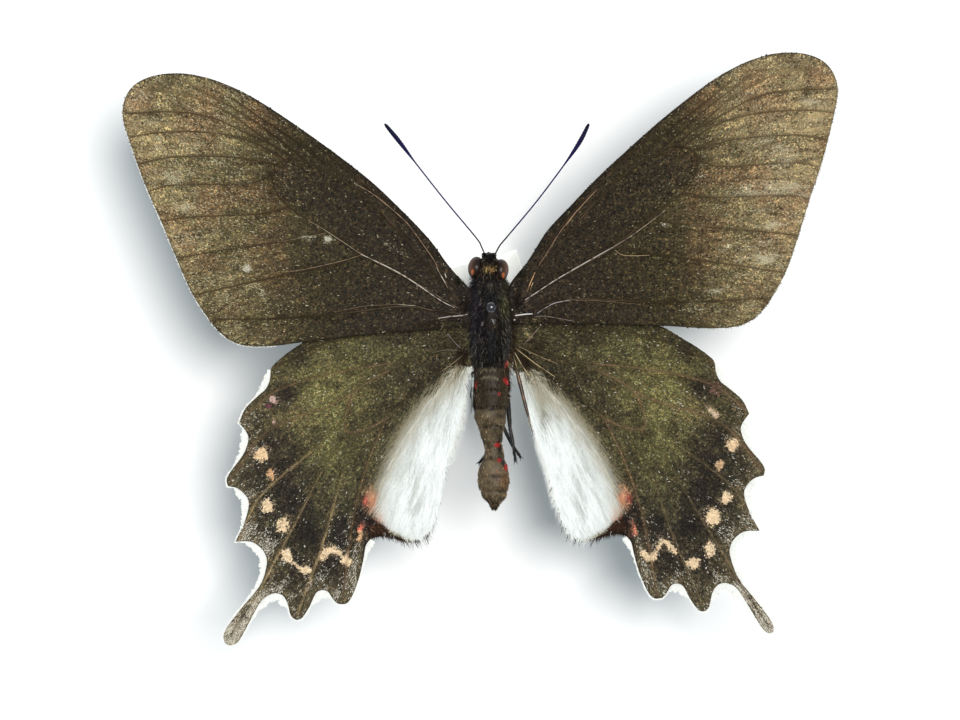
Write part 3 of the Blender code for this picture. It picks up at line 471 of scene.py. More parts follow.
def tinted(name, roughness, specular, grain, grain_size, bump=0.0):
    """A material in the piece's own colours, with fine grain in colour and height."""
    material, shader, noise = grained(name, roughness, specular, grain_size, 3.0)
    tree = material.node_tree
    tint = tree.nodes.new("ShaderNodeAttribute")
    tint.attribute_name = "Tint"
    spread = add_node(tree, "ShaderNodeMapRange", From_Min=0.3, From_Max=0.7, To_Min=1 - grain,
                      To_Max=1 + grain)
    tree.links.new(noise.outputs["Fac"], spread.inputs["Value"])
    scaled = tree.nodes.new("ShaderNodeVectorMath")
    scaled.operation = "SCALE"
    tree.links.new(tint.outputs["Color"], scaled.inputs[0])
    tree.links.new(spread.outputs["Result"], scaled.inputs["Scale"])
    tree.links.new(scaled.outputs["Vector"], shader.inputs["Base Color"])
    if bump:
        height = add_node(tree, "ShaderNodeBump", Strength=bump, Distance=grain_size * MM * 0.5)
        tree.links.new(noise.outputs["Fac"], height.inputs["Height"])
        tree.links.new(height.outputs["Normal"], shader.inputs["Normal"])
    return material


def plain(name, dark, light, roughness, specular, grain_size):
    """A material between two colours of one stuff, mottled at its grain size."""
    material, shader, noise = grained(name, roughness, specular, grain_size, 4.0)
    tree = material.node_tree
    colours = tree.nodes.new("ShaderNodeValToRGB")
    for end, place, colour in zip(colours.color_ramp.elements, (0.35, 0.65), (dark, light)):
        end.position = place
        end.color = (*tone(colour), 1)
    tree.links.new(noise.outputs["Fac"], colours.inputs["Fac"])
    tree.links.new(colours.outputs["Color"], shader.inputs["Base Color"])
    return material


class Wing:
    """One wing: its drawing, its place on its side and its height."""

    def __init__(self, kind, side):
        fore = kind == "forewing"
        self.kind, self.side = kind, side
        self.pose = (FOREWING_POSE if fore else HINDWING_POSE)[side]
        self.stretches = FOREWING_MARGIN if fore else HINDWING_MARGIN
        veins = FOREWING_VEINS if fore else HINDWING_VEINS
        self.names = list(veins)
        self.veins = [curve(points, 0.7) for _, points in veins.values()]
        self.widths = np.array([width for width, _ in veins.values()]) * VEIN_WIDTH_SHARE
        self.outline = np.vstack([curve(s, 0.3)[:-1] for s in self.stretches])
        self.low, self.high = self.outline.min(0), self.outline.max(0)

    def vein(self, name):
        return self.veins[self.names.index(name)]

    def place(self, points):
        """Drawn points put on the wing's side of the body."""
        mirror, scale, yaw, shift, (bend, width) = self.pose
        root, way = np.array(TAIL_ROOT), np.array(TAIL_WAY)
        side = np.array((-way[1], way[0]))
        arm = points - root
        along, off = arm @ way, arm @ side
        tail = (along > 0) & (np.abs(off) <= TAIL_HALF_WIDTH) & (self.kind == "hindwing")
        share = np.clip(along / TAIL_BEND_LENGTH, 0, 1) * tail
        off = off * (1 - (1 - width) * share)
        arm = np.where(tail[:, None], np.outer(along, way) + np.outer(off, side), arm)
        turned = (rotated(arm, -math.radians(bend) * share) + root) * scale
        x, y = (rotated(turned, math.radians(yaw)) + shift).T
        if self.pose is FOREWING_POSE["right"]:
            x = x + MARGIN_LEAN * np.clip((x - LEAN_FROM) / LEAN_REACH, 0, 1) * (y - LEAN_MIDDLE)
            stops, trims = np.array(FRONT_TRIM[::-1]).T
            y = y + np.interp(x, stops, trims) * np.clip(y / TRIM_BAND, 0, 1)
        return np.stack([x * mirror, y], 1)

    def level(self, placed):
        """Height of the wing's middle at placed points."""
        out = np.maximum(0, np.abs(placed[:, 0] - BODY_X) - SLOPE_FROM)
        if self.kind == "forewing":
            return WING_Z + FOREWING_SLOPE * out - FOREWING_SAG * out ** 2
        return WING_Z - HIND_DROP + HINDWING_SLOPE * out - HINDWING_SAG * out ** 2

    def survey(self, points):
        """How far points lie from the veins and from the rim, and where on them is nearest."""
        off, which, along, foot = nearest(points, self.veins)
        rim, _, _, shore = nearest(points, [np.vstack([self.outline, self.outline[:1]])])
        return {"points": points, "off": off, "vein": which, "along": along, "foot": foot, "rim": rim,
                "shore": shore}

    def relief(self, seen, step_by):
        """Height of the upper face over the middle: ridged veins, and sagging cells between them."""
        at = seen["points"] + step_by
        off = np.linalg.norm(at - seen["foot"], axis=1)
        rim = np.linalg.norm(at - seen["shore"], axis=1)
        half = self.widths[seen["vein"]] / 2 * (1 - VEIN_TAPER * seen["along"])
        ridge = VEIN_HEIGHT * np.sqrt(np.clip(1 - (off / half) ** 2, 0, 1))
        sag = 0.07 * (1 - np.exp(-(off / 1.2) ** 2)) * step(rim, 0, 1.5)
        return MEMBRANE / 2 + ridge - sag

    def face(self, seen, under=False):
        """Surveyed points on the wing's upper or under face, with the way that face looks."""
        reach = 0.04

        def lifted(step_by):
            placed = self.place(seen["points"] + step_by)
            height = self.relief(seen, step_by)
            if under:
                height = np.minimum(height, MEMBRANE / 2) - MEMBRANE
            return np.column_stack([placed, self.level(placed) + height])

        here = lifted((0, 0))
        ahead = lifted((reach, 0)) - here
        beside = lifted((0, reach)) - here
        ups = unit(np.cross(ahead, beside))
        ups[ups[:, 2] < 0] *= -1
        return here, -ups if under else ups

    def combed(self, points, turns):
        """The way that scales point in the drawing: outwards from the root, turned a little each."""
        root = (0.0, 0.5) if self.kind == "forewing" else (1.0, -2.0)
        return rotated(unit(points - root), turns)

    def laid(self, points, way):
        """A way in the drawing as it lies on the placed wing."""
        return unit(self.place(points + way * 0.05) - self.place(points))

    def unwrap(self, points):
        """Where drawn points lie on the wing laid flat."""
        return framed((points - self.low) / (self.high - self.low).max())


def streak(points, path, width):
    """How much of a drawn stroke covers each point, with a ragged edge."""
    off = nearest(points, [curve(path, 0.2)])[0]
    ragged = (cloud(points, 0.28, 5) - 0.5) * 0.3
    return step(-off, -(width / 2 + 0.1 + ragged), -(width / 2 - 0.08 + ragged))


def blot(points, centre, size, seed=9):
    """How much of a ragged round spot covers each point."""
    off = np.linalg.norm((points - centre) / (np.asarray(size) / 2), axis=1)
    off = off + (cloud(points, 0.4, seed) - 0.5) * 0.6 + (cloud(points, 0.16, seed + 1) - 0.5) * 0.5
    return 1 - step(off, 0.88, 1.1)


def glow(points, centre, size):
    """A soft round light patch."""
    return np.exp(-(((points - centre) / size) ** 2).sum(1))


def fanned(points, centre):
    """Points by distance from a centre and by the way round it, both in about the same measure."""
    arm = points - np.asarray(centre)
    return np.column_stack([np.hypot(arm[:, 0], arm[:, 1]), np.arctan2(arm[:, 1], arm[:, 0]) * 25])


def folds(wing, fan):
    """Lines half way between neighbouring veins of the fan, over their outer part."""
    lines = []
    for a, b in zip(fan, fan[1:]):
        first, second = wing.vein(a), wing.vein(b)
        t = np.linspace(0.45, 0.98, 14)
        pick = [np.stack([np.interp(t, np.linspace(0, 1, len(v)), v[:, i]) for i in (0, 1)], 1)
                for v in (first, second)]
        lines.append((pick[0] + pick[1]) / 2)
    return lines


def turned_to(points, centre, turn):
    """Points seen from a centre, with the x axis turned by some degrees."""
    return rotated(points - centre, -math.radians(turn))


# colours of the wings, as they show on screen
FOREWING_HUB, HINDWING_HUB = (-7.4, 11.5), (7.0, -2.0)  # where lines along the outer veins would meet
# drawn x and the colour there
FOREWING_TONES = [(0, (50, 42, 34)), (13, (57, 47, 33)), (18, (67, 57, 37)), (23, (92, 79, 52)),
                  (28, (122, 107, 74)), (33, (148, 130, 92)), (38, (169, 147, 106)), (42, (175, 152, 112))]
VEIN_TONES = [(9, (90, 70, 50)), (18, (72, 56, 40)), (23, (46, 34, 25)), (28, (74, 57, 40)),
              (40, (84, 66, 46))]
FOREWING_WORN = {
    # world x and y of worn pale places, with length, width and turn in degrees
    "left": [(-17.6, 7.7, 1.2, 0.6, 150), (-27.2, 4.4, 1.2, 0.9, 60), (-10.8, 6.85, 2.8, 0.35, 149),
             (-39.5, 23.6, 2.4, 1.3, 20), (-36.9, 18.2, 1.0, 1.7, 5), (-35.1, 14.6, 2.1, 1.2, 170),
             (-31.0, 19.6, 1.6, 0.4, 170), (-30.6, 16.6, 1.5, 0.4, 150), (-28.0, 14.2, 0.7, 0.25, 150),
             (-31.5, 9.0, 1.3, 0.3, 20), (-33.0, 8.2, 2.2, 0.5, 160), (-25.5, 2.2, 1.6, 0.6, 120),
             (-34.0, 11.3, 1.6, 0.4, 10), (-37.9, 20.9, 1.8, 0.4, 5)],
    "right": [(27.4, 24.2, 1.5, 0.35, 0), (19.7, 9.4, 0.7, 0.4, 0), (36.4, 22.8, 2.4, 1.0, 170),
              (36.2, 21.0, 1.9, 0.6, 175), (31.0, 19.0, 2.0, 0.8, 10), (32.5, 16.9, 2.3, 2.1, 45),
              (32.1, 13.2, 8.0, 0.7, 3), (31.7, 9.4, 1.4, 0.6, 20), (31.0, 5.4, 2.6, 0.9, 25),
              (23.2, 0.6, 1.4, 0.8, 20), (30.0, 13.6, 3.6, 0.6, 8), (27.6, 12.9, 1.4, 0.5, 20),
              (33.8, 13.9, 2.8, 0.4, 170), (35.2, 12.9, 1.7, 0.9, 150), (31.0, 10.9, 4.4, 0.25, 0),
              (34.5, 9.9, 1.6, 0.5, 150),
              (31.5, 9.3, 3.0, 0.3, 5), (30.0, 7.1, 2.6, 0.5, 15), (30.8, 5.7, 2.4, 0.9, 160),
              (28.1, 5.6, 2.0, 0.4, 20), (32.5, 4.9, 1.5, 0.4, 160), (26.4, 6.8, 1.8, 0.4, 30),
              (25.8, 2.1, 2.6, 0.35, 10), (23.3, 14.7, 1.2, 0.3, 20), (22.5, 9.1, 2.2, 0.3, 0),
              (28.6, 3.8, 2.4, 0.3, 10), (24.0, -0.1, 3.8, 0.3, 0)],
}


def worn_share(wing, points):
    """How worn the forewing is at each point, in listed places."""
    world = wing.place(points)
    share = np.zeros(len(points))
    for cx, cy, length, width, turn in FOREWING_WORN[wing.side]:
        arm = turned_to(world, (cx, cy), turn) / (length * 0.55, width * 0.6)
        share = np.maximum(share, np.exp(-(arm ** 2).sum(1)))
    threads = cloud(fanned(points, FOREWING_HUB) * (0.25, 1.5), 0.32, 24)
    return share * (0.25 + 1.1 * step(threads, 0.45, 0.75))


HINDWING_LINES = {
    # radius, colour and the world points of the bare veins and stiff hairs at the hindwing's base; their
    # pale colours are partly painted gleams
    "left": [(0.05, (138, 124, 132), [(-4.7, -2.7), (-4.0, -3.6), (-3.1, -4.5)]),
             (0.04, (160, 138, 108), [(-5.5, -7.1), (-4.2, -6.2), (-3.0, -5.2)]),
             (0.035, (120, 104, 84), [(-6.4, -4.9), (-4.8, -4.6), (-3.2, -4.7)])],
    "right": [(0.05, (150, 128, 118), [(5.7, -2.0), (4.9, -2.9), (3.9, -4.0)]),
              (0.05, (206, 178, 132), [(3.0, -4.4), (4.0, -5.2), (5.6, -6.4), (7.4, -7.6)]),
              (0.045, (222, 198, 152), [(2.9, -4.9), (3.7, -6.3), (4.6, -7.6), (5.5, -8.7)]),
              (0.035, (176, 148, 108), [(3.4, -4.2), (5.4, -5.2), (7.8, -6.2)]),
              (0.04, (190, 164, 120), [(2.8, -5.3), (3.2, -6.8), (3.7, -8.2)])],
}
FOREWING_LINES = {
    # radius, colour and the world points of the bare gleaming veins at the forewing's base; their pale
    # colours are partly painted gleams, and the tiny dots are painted glints
    "left": [(0.045, (232, 222, 206), [(-4.95, 4.0), (-4.8, 3.5)]),
             (0.045, (224, 208, 184), [(-5.9, 4.7), (-5.3, 3.6), (-4.9, 2.9), (-4.6, 2.3)]),
             (0.055, (222, 208, 192), [(-3.9, 0.15), (-5.65, 1.1), (-9.93, 3.95), (-14.38, 6.15)]),
             (0.035, (176, 152, 126), [(-14.38, 6.15), (-18.2, 8.7), (-20.3, 9.95)]),
             (0.045, (180, 146, 114), [(-14.96, 14.04), (-12.7, 12.66), (-9.47, 9.91), (-8.09, 8.22)]),
             (0.04, (164, 130, 100), [(-8.09, 8.22), (-6.29, 5.63), (-5.7, 4.5)]),
             (0.035, (158, 130, 98), [(-14.4, 6.0), (-16.8, 5.3), (-20.8, 4.4), (-23.0, 4.1)]),
             (0.03, (146, 122, 94), [(-18.2, 8.5), (-20.8, 8.0), (-23.5, 7.5)]),
             (0.035, (196, 184, 160), [(-10.2, 0.5), (-8.2, 0.35)]),
             (0.03, (122, 98, 72), [(-8.2, 0.35), (-6.4, -0.2)]),
             (0.03, (122, 98, 72), [(-10.2, 0.5), (-14.0, 0.3), (-17.0, -0.3)]),
             (0.05, (214, 204, 194), [(-5.7, -1.05), (-4.4, -0.85), (-3.2, -0.75), (-2.4, -0.6)])],
    "right": [(0.06, (220, 170, 116), [(4.27, 1.9), (4.6, 2.8), (5.17, 4.1)]),
              (0.045, (226, 190, 140), [(4.6, 2.1), (4.95, 3.0)]),
              (0.04, (158, 122, 88), [(5.6, 4.9), (6.9, 6.9), (7.98, 8.65), (9.89, 11.1)]),
              (0.045, (178, 140, 104), [(8.6, 9.3), (9.89, 11.0), (12.1, 13.4)]),
              (0.055, (214, 200, 192), [(4.05, 1.01), (7.98, 3.55), (12.5, 6.15), (13.9, 6.9)]),
              (0.04, (176, 152, 128), [(13.9, 6.9), (15.8, 8.1), (18.1, 9.75), (19.8, 11.1)]),
              (0.035, (190, 160, 118), [(14.1, 6.6), (15.2, 6.0), (18.0, 6.0)]),
              (0.07, (246, 240, 234), [(2.9, -0.75), (4.0, -0.6), (4.9, -0.55)]),
              (0.04, (196, 188, 186), [(5.4, -0.5), (6.4, 0.15), (7.4, 0.65), (9.1, 1.0)]),
              (0.03, (132, 108, 80), [(9.1, 1.0), (12.5, 0.9), (17.0, 0.5)]),
              (0.035, (150, 136, 126), [(5.2, -0.85), (6.6, -0.85), (9.6, -1.4)]),
              (0.08, (238, 226, 200), [(2.6, -0.15), (2.62, 0.0)]),
              (0.08, (236, 222, 196), [(2.75, -1.25), (2.95, -1.2)]),
              (0.07, (244, 240, 236), [(5.72, -1.8), (5.84, -1.78)])],
}
FOREWING_SCARS = {
    # world x and y, width and height of bare white scars
    "left": [(-17.9, 7.75, 1.0, 0.5), (-20.1, 8.05, 1.5, 0.22), (-27.0, 4.5, 0.9, 0.8)],
    "right": [(19.5, 9.45, 0.7, 0.32)],
}


def forewing_ground(wing, points):
    """Screen colours of the forewing between its veins: dark at the base, paler and rayed outwards."""
    x, y = points.T
    colours = ramp(x + (cloud(points, 5, 2) - 0.5) * 5 - 0.05 * np.abs(y - 12), FOREWING_TONES)
    if wing.side == "right":
        colours = mixed(colours, (172, 149, 110), 0.6 * step(x, 22, 34))
    cell = inside(points, np.array(FOREWING_CELL)).astype(float)
    colours = mixed(colours, (51, 43, 30), 0.6 * cell)
    dark_end = step(x, 8, 14) * (1 - step(x, 22, 27))
    colours = mixed(colours, (59, 52, 35), 0.25 * dark_end * (1 - cell))
    if wing.side == "left":
        colours = colours * (0.95, 0.95, 0.94)
    silk = cloud(fanned(points, FOREWING_HUB) * (0.14, 1.0), 0.3, 13) - 0.5
    colours = colours * (1 + 0.34 * silk * step(x, 12, 24))[:, None]
    # painted sheen: pale streaky patches along the veins over the outer part
    painted_sheen_streaks = cloud(fanned(points, FOREWING_HUB) * (0.3, 1.0), 0.6, 11)
    patch = cloud(points, 1.8, 14)
    colours = mixed(colours, (168, 155, 120), 0.4 * step(painted_sheen_streaks * patch, 0.34, 0.75) * step(x, 22, 33))
    colours = mixed(colours, (66, 56, 38), 0.4 * step(-patch, -0.4, -0.05) * step(x, 22, 30))
    colours = mixed(colours, (132, 92, 66), 0.34 * step(cloud(points, 2.6, 15), 0.5, 0.9) * step(x, 18, 28))
    fold_off, _, fold_along, _ = nearest(points, folds(wing, FOREWING_FAN))
    short = step(fold_along, 0.3, 0.7) * step(cloud(points, 1.0, 16), 0.1, 0.3)
    return mixed(colours, (76, 60, 40), 0.85 * step(-fold_off, -0.13, -0.03) * short)


def forewing_veins(wing, seen, colours):
    """The forewing's colours with its veins: brown outwards, pale or gleaming at the base."""
    points, off = seen["points"], seen["off"]
    x = points[:, 0]
    names = np.array(wing.names)[seen["vein"]]
    faint = np.isin(names, ("radial_1", "radial_2", "radial_3")) * step(x, 26, 31)
    strength = (0.8 if wing.side == "left" else 0.62) * step(x, 5, 15) * (1 - 0.85 * faint)
    brown = ramp(x, VEIN_TONES)
    line = (strength * step(-off, -0.085, -0.02))[:, None]
    colours = colours * (1 - line) + brown * line
    bare = np.isin(names, ("cubitus", "anal_1")) & (x < 18)
    pale = np.where(names == "cubitus", 0.7, 0.35) * bare * (1 - step(x, 13, 18))
    pale = pale * step(cloud(points, 0.8, 3), 0.15, 0.45)
    colours = mixed(colours, (186, 158, 134), pale * step(-off, -0.08, -0.02))
    # painted highlights on the front veins near the base
    front = np.isin(names, ("subcosta", "radius")) & (x < 17)
    glint = front * step(cloud(points, 0.5, 4), 0.6, 0.75) * step(-off, -0.25, -0.08)
    return mixed(colours, (140, 110, 86), 0.35 * glint)


def paint_forewing(wing, seen):
    """Screen colours of the forewing's upper side."""
    points = seen["points"]
    x, y = points.T
    colours = forewing_veins(wing, seen, forewing_ground(wing, points))
    worn = 0.25 if wing.side == "left" else 0.42
    colours = mixed(colours, (230, 222, 196), worn * worn_share(wing, points))
    world = wing.place(points)
    for cx, cy, width, height in FOREWING_SCARS[wing.side]:
        colours = mixed(colours, (222, 214, 196), 0.9 * blot(world, (cx, cy), (width, height)))
    costal = step(y - 0.62 * x, -1.5, 2.0)
    dark_rim = step(-seen["rim"], -0.4, -0.08) * (0.35 + 0.65 * costal)
    return mixed(colours, (50, 44, 40), 0.75 * dark_rim)


CREAM = (255, 222, 182)
HINDWING_SPOTS = {
    # world x and y, width, height, colour
    "left": [(-24.2, -10.1, 0.75, 0.7, (222, 184, 172)), (-24.6, -10.9, 0.8, 0.6, (104, 60, 72)),
             (-24.0, -12.7, 0.35, 0.5, (190, 154, 140)), (-25.5, -16.35, 1.3, 1.55, (250, 212, 168)),
             (-24.4, -18.4, 0.8, 1.35, (222, 172, 128)), (-24.75, -22.0, 1.3, 1.65, CREAM),
             (-23.1, -24.2, 1.3, 1.75, CREAM), (-22.7, -27.5, 1.1, 1.5, CREAM),
             (-20.55, -29.25, 1.35, 0.9, CREAM)],
    "right": [(25.4, -9.0, 1.6, 1.3, (98, 74, 62)), (27.1, -15.2, 1.45, 1.35, (250, 214, 172)),
              (25.8, -17.4, 0.9, 1.3, (222, 182, 140)), (26.6, -21.1, 1.2, 1.6, CREAM),
              (25.1, -23.3, 1.4, 1.8, CREAM), (24.75, -26.9, 1.2, 1.65, CREAM),
              (22.9, -28.4, 1.5, 1.15, CREAM)],
}
HINDWING_STROKES = {
    # width, colour and the points of a stroke
    "left": [(0.4, CREAM, [(-22.2, -28.1), (-21.2, -28.9)]),
             (0.8, CREAM, [(-18.7, -27.8), (-18.1, -27.1), (-17.4, -26.9)]),
             (0.5, CREAM, [(-17.4, -26.9), (-16.8, -27.2), (-16.3, -27.9)]),
             (0.9, CREAM, [(-16.1, -28.1), (-15.8, -28.3)]),
             (0.6, (238, 120, 100), [(-14.1, -24.3), (-14.35, -24.9)]),
             (0.5, (252, 196, 150), [(-14.35, -25.1), (-14.5, -25.8)])],
    "right": [(0.4, (234, 200, 172), [(24.85, -11.3), (25.5, -12.0)]),
              (0.6, CREAM, [(19.25, -25.9), (20.0, -26.2), (20.75, -27.2)]),
              (0.4, CREAM, [(19.2, -26.2), (18.9, -26.9), (18.5, -27.5)]),
              (0.7, CREAM, [(18.4, -27.7), (17.8, -27.9), (17.3, -27.3)]),
              (0.6, (242, 148, 116), [(15.85, -23.8), (16.1, -24.4), (16.4, -25.1)]),
              (0.5, (150, 136, 98), [(3.9, -2.4), (4.5, -3.2)])],
}
HINDWING_SHADES = [
    # drawn centre, size, colour and strength of soft patches, in the order that they are laid
    ((18.3, -9.0), (5.3, 5.8), (122, 113, 70), 0.92),
    ((17.8, -16.0), (3.3, 6.0), (110, 104, 66), 0.78),
    ((14.0, -4.5), (6.0, 1.6), (92, 86, 55), 0.7),
    ((22.0, -11.9), (2.6, 1.5), (112, 99, 66), 0.7),
    ((24.8, -6.6), (1.0, 1.4), (126, 112, 82), 0.6),
    ((21.3, -5.2), (1.4, 1.3), (44, 38, 30), 0.8),
    ((22.9, -9.4), (1.6, 1.2), (42, 35, 29), 0.85),
    ((24.3, -15.0), (1.7, 1.5), (38, 31, 26), 0.82),
    ((23.2, -17.8), (1.5, 1.5), (41, 34, 28), 0.75),
    ((22.4, -21.2), (2.5, 2.0), (37, 31, 25), 0.85),
    ((20.6, -25.6), (2.1, 2.8), (33, 28, 23), 0.85),
    ((16.9, -25.0), (1.8, 2.2), (37, 32, 27), 0.82),
    ((18.2, -28.9), (1.5, 1.0), (42, 35, 28), 0.7),
    ((22.4, -29.3), (1.4, 1.1), (44, 36, 29), 0.6),
    ((14.6, -23.6), (0.9, 1.6), (38, 30, 25), 0.85),
]
LONG_WAY = (0.75, -0.66)  # outwards and backwards, across the bands of the hindwing


def down_tail(points):
    """How far along the hindwing's tail each drawn point lies, counted from the tail's root."""
    return (points - TAIL_ROOT) @ np.array(TAIL_WAY)


def hindwing_ground(wing, seen):
    """Screen colours of the hindwing between its veins: green in the middle, dark and paler outwards."""
    points, edge = seen["points"], seen["rim"]
    colours = shaded(len(points), (62, 55, 38))
    outer = step(points @ np.array(LONG_WAY), 20, 31)
    colours = mixed(colours, (58, 52, 40), outer)
    for centre, size, colour, strength in HINDWING_SHADES:
        colours = mixed(colours, colour, strength * glow(points, centre, size))
    silk = cloud(fanned(points, HINDWING_HUB) * (0.14, 1.0), 0.4, 10) - 0.5
    colours = colours * (1 + 0.3 * silk)[:, None]
    blotchy = cloud(points, 1.2, 12)
    colours = mixed(colours, (112, 104, 68), 0.22 * step(blotchy, 0.55, 0.9))
    colours = mixed(colours, (42, 36, 26), 0.35 * step(-blotchy, -0.4, -0.1))
    colours = mixed(colours, (112, 99, 75), 0.66 * step(-edge, -2.2, -0.3) * outer)
    fold_off, _, fold_along, _ = nearest(points, folds(wing, HINDWING_FAN))
    return mixed(colours, (46, 39, 27), 0.4 * step(-fold_off, -0.2, -0.04) * step(fold_along, 0.1, 0.7))


def hindwing_veins(wing, seen, colours):
    """The hindwing's colours with its veins: some tan between dark lines, the tan partly a painted
    highlight, others brown or dull.
    """
    points, off, along = seen["points"], seen["off"], seen["along"]
    names = np.array(wing.names)[seen["vein"]]
    tan = np.isin(names, ("median_2", "median_3", "cubital_1"))
    brown = np.isin(names, ("radius", "median_1", "cell_front", "cell_end", "cubital_2", "cubitus"))
    strength = tan * step(along, 0.05, 0.5) * (0.95 if wing.side == "left" else 0.5)
    sparkle = 0.6 + 0.4 * step(cloud(points, 0.3, 21), 0.4, 0.7)
    colours = mixed(colours, (32, 27, 21), 0.5 * strength * step(-np.abs(off - 0.24), -0.12, -0.03))
    # the tan core is partly a painted highlight along the vein
    colours = mixed(colours, (188, 161, 118), strength * sparkle * step(-off, -0.15, -0.05))
    ruddy = sparkle * brown * step(-off, -0.13, -0.04) * step(points[:, 0], 8, 13)
    colours = mixed(colours, (144, 116, 86), (0.8 if wing.side == "left" else 0.95) * ruddy)
    return mixed(colours, (90, 76, 52), 0.5 * ~(tan | brown) * step(-off, -0.12, -0.04))


def paint_tail(wing, points, colours):
    """The hindwing's colours with its pale mottled tail and whitish tail tip."""
    across = (points - TAIL_ROOT) @ np.array((-TAIL_WAY[1], TAIL_WAY[0]))
    tail = step(down_tail(points), 0.3, 2.5) * (np.abs(across) < 2.2)
    colours = mixed(colours, (172, 157, 130) if wing.side == "left" else (136, 120, 98), 0.85 * tail)
    colours = mixed(colours, (70, 54, 38), 0.85 * tail * step(cloud(points, 0.3, 22), 0.54, 0.66))
    tip = step(down_tail(points), 5.0, 7.5) * tail
    pale_tip = 0.75 if wing.side == "left" else 0.35
    return mixed(colours, (216, 207, 188), pale_tip * tip * step(cloud(points, 0.35, 7), 0.4, 0.6))


def paint_hindwing(wing, seen):
    """Screen colours of the hindwing's upper side."""
    points = seen["points"]
    world = wing.place(points)
    colours = hindwing_veins(wing, seen, hindwing_ground(wing, seen))
    colours = paint_tail(wing, points, colours)
    for cx, cy, width, height, colour in HINDWING_SPOTS[wing.side]:
        colours = mixed(colours, colour, 0.98 * blot(world, (cx, cy), (width, height)))
    for width, colour, path in HINDWING_STROKES[wing.side]:
        colours = mixed(colours, colour, 0.98 * streak(world, path, width))
    return paint_fold(points, colours)


def wool_depth(points):
    """How far each point lies inside the wool's edge, negative on the scaled side."""
    edge = curve(WOOL_EDGE, 0.5)
    off = nearest(points, [edge])[0]
    loop = np.vstack([edge, [(8.0, -30.0), (-3.0, -30.0), (-3.0, -6.3)]])
    return np.where(inside(points, loop), off, -off)


PINK_PATCHES = [
    # drawn centre, size, colour and strength of the pink and dark patches beside the wool
    ((13.8, -22.9), (0.8, 0.6), (44, 32, 28), 0.9),
    ((12.7, -23.7), (0.8, 0.35), (132, 60, 52), 0.7),
    ((13.1, -21.1), (0.85, 1.15), (240, 170, 132), 0.95),
    ((13.9, -21.5), (0.3, 0.6), (184, 80, 72), 0.8),
    ((11.9, -22.6), (0.45, 1.0), (252, 206, 184), 0.75),
    ((11.0, -24.0), (0.5, 0.6), (252, 222, 206), 0.6),
]
HEM_EDGE = [(14.4, -22.8), (12.9, -23.6), (11.6, -24.75), (10.2, -25.7), (9.3, -26.35)]


def hem_share(points):
    """How much the dark hem at the fold's end covers each point."""
    x, y = points.T
    line = curve(HEM_EDGE, 0.3)[::-1]
    below = np.interp(x, line[:, 0], line[:, 1]) - y
    return step(below, -0.15, 0.25) * step(x, 9.3, 10.2) * (1 - step(x, 13.9, 14.5))


def paint_fold(points, colours):
    """The membrane below the wool and the greyish band beside it, with the pink patches."""
    deep = wool_depth(points)
    band = step(deep, -2.2, 0.1) * step(-points[:, 1], 6.5, 12)
    colours = mixed(colours, (136, 128, 100), 0.75 * band)
    for centre, size, colour, strength in PINK_PATCHES:
        colours = mixed(colours, colour, strength * glow(points, centre, size))
    colours = mixed(colours, (226, 226, 214), step(deep, -0.3, 0.7))
    hem = mixed(shaded(len(points), (38, 31, 27)), (74, 59, 47), step(cloud(points, 0.5, 23), 0.5, 0.75))
    share = (0.95 * hem_share(points))[:, None]
    return colours * (1 - share) + hem * share


REDDER, GREENER = (0.02, -0.025, -0.02), (1.0, 1.01, 1.0)  # shifts of red, green and blue


def speckle(wing, colours, seen, rng):
    """Each scale's own shade: lighter or darker, redder or greener, and a few that flash or are lost."""
    points = seen["points"]
    count = len(points)
    hue = rng.normal(0, 1, count)
    calm = 1 - 0.75 * step(colours.max(1), 150, 200)
    grain = (cloud(points, 0.17, 20) - 0.5) * (0.35 + 0.75 * (1 - step(colours.max(1), 55, 100)))
    lift = 0.01 + 0.06 * step(colours.max(1), 70, 100)
    if wing.kind == "forewing":
        silky = cloud(fanned(points, FOREWING_HUB) * (0.16, 1.0), 0.16, 25) - 0.5
        grain = grain + silky * step(points[:, 0], 14, 26) * 0.55
        lift = -0.03
    shade = np.exp((np.clip(rng.normal(0, 0.28, count), -0.75, 0.36) + grain + lift) * calm)[:, None]
    shade = shade * np.exp((hue * calm)[:, None] * REDDER) * GREENER
    draw = rng.random(count)
    x, y = points.T
    if wing.kind == "forewing":
        clump = cloud(points, 0.7, 17)
        scuff = step(cloud(fanned(points, FOREWING_HUB) * (0.4, 1.0), 1.1, 19), 0.66, 0.9) * step(x, 22, 34)
        fresh = 1.0 if wing.side == "right" else 1.5
        odds = fresh * (0.008 + 0.09 * step(x, 17, 32)) * (0.4 + 1.2 * clump) + 0.24 * scuff
        odds = odds + 0.75 * worn_share(wing, points)
        brightest = 0.9 if wing.side == "left" else 0.8
        flash = mixed(colours, (240, 232, 192), rng.uniform(0.3, brightest, count))
    else:
        edge = seen["rim"]
        lobes = step(points @ np.array(LONG_WAY), 24, 31) * step(-edge, -3.4, -0.5)
        lobes = lobes * (0.35 + 0.65 * step(-y, 18, 28)) * (1.0 if wing.side == "left" else 0.55)
        tail = step(down_tail(points), 0.3, 2.5)
        clump = cloud(fanned(points, HINDWING_HUB) * (0.25, 1.0), 0.5, 18)
        tip = step(down_tail(points), 5.0, 7.0)
        odds = (0.018 + 0.4 * lobes) * (0.15 + 2.1 * step(clump, 0.45, 0.8)) + 0.24 * tail + 0.35 * tip
        flash = mixed(colours, (255, 248, 230), rng.uniform(0.35, 1.0, count))
    bright = draw < odds * (0.35 + 0.65 * calm)
    colours = np.where(bright[:, None], flash, colours * shade)
    colours = colours * np.where((draw > 0.94) & (calm > 0.5), 0.6, 1.0)[:, None]
    return colours, bright


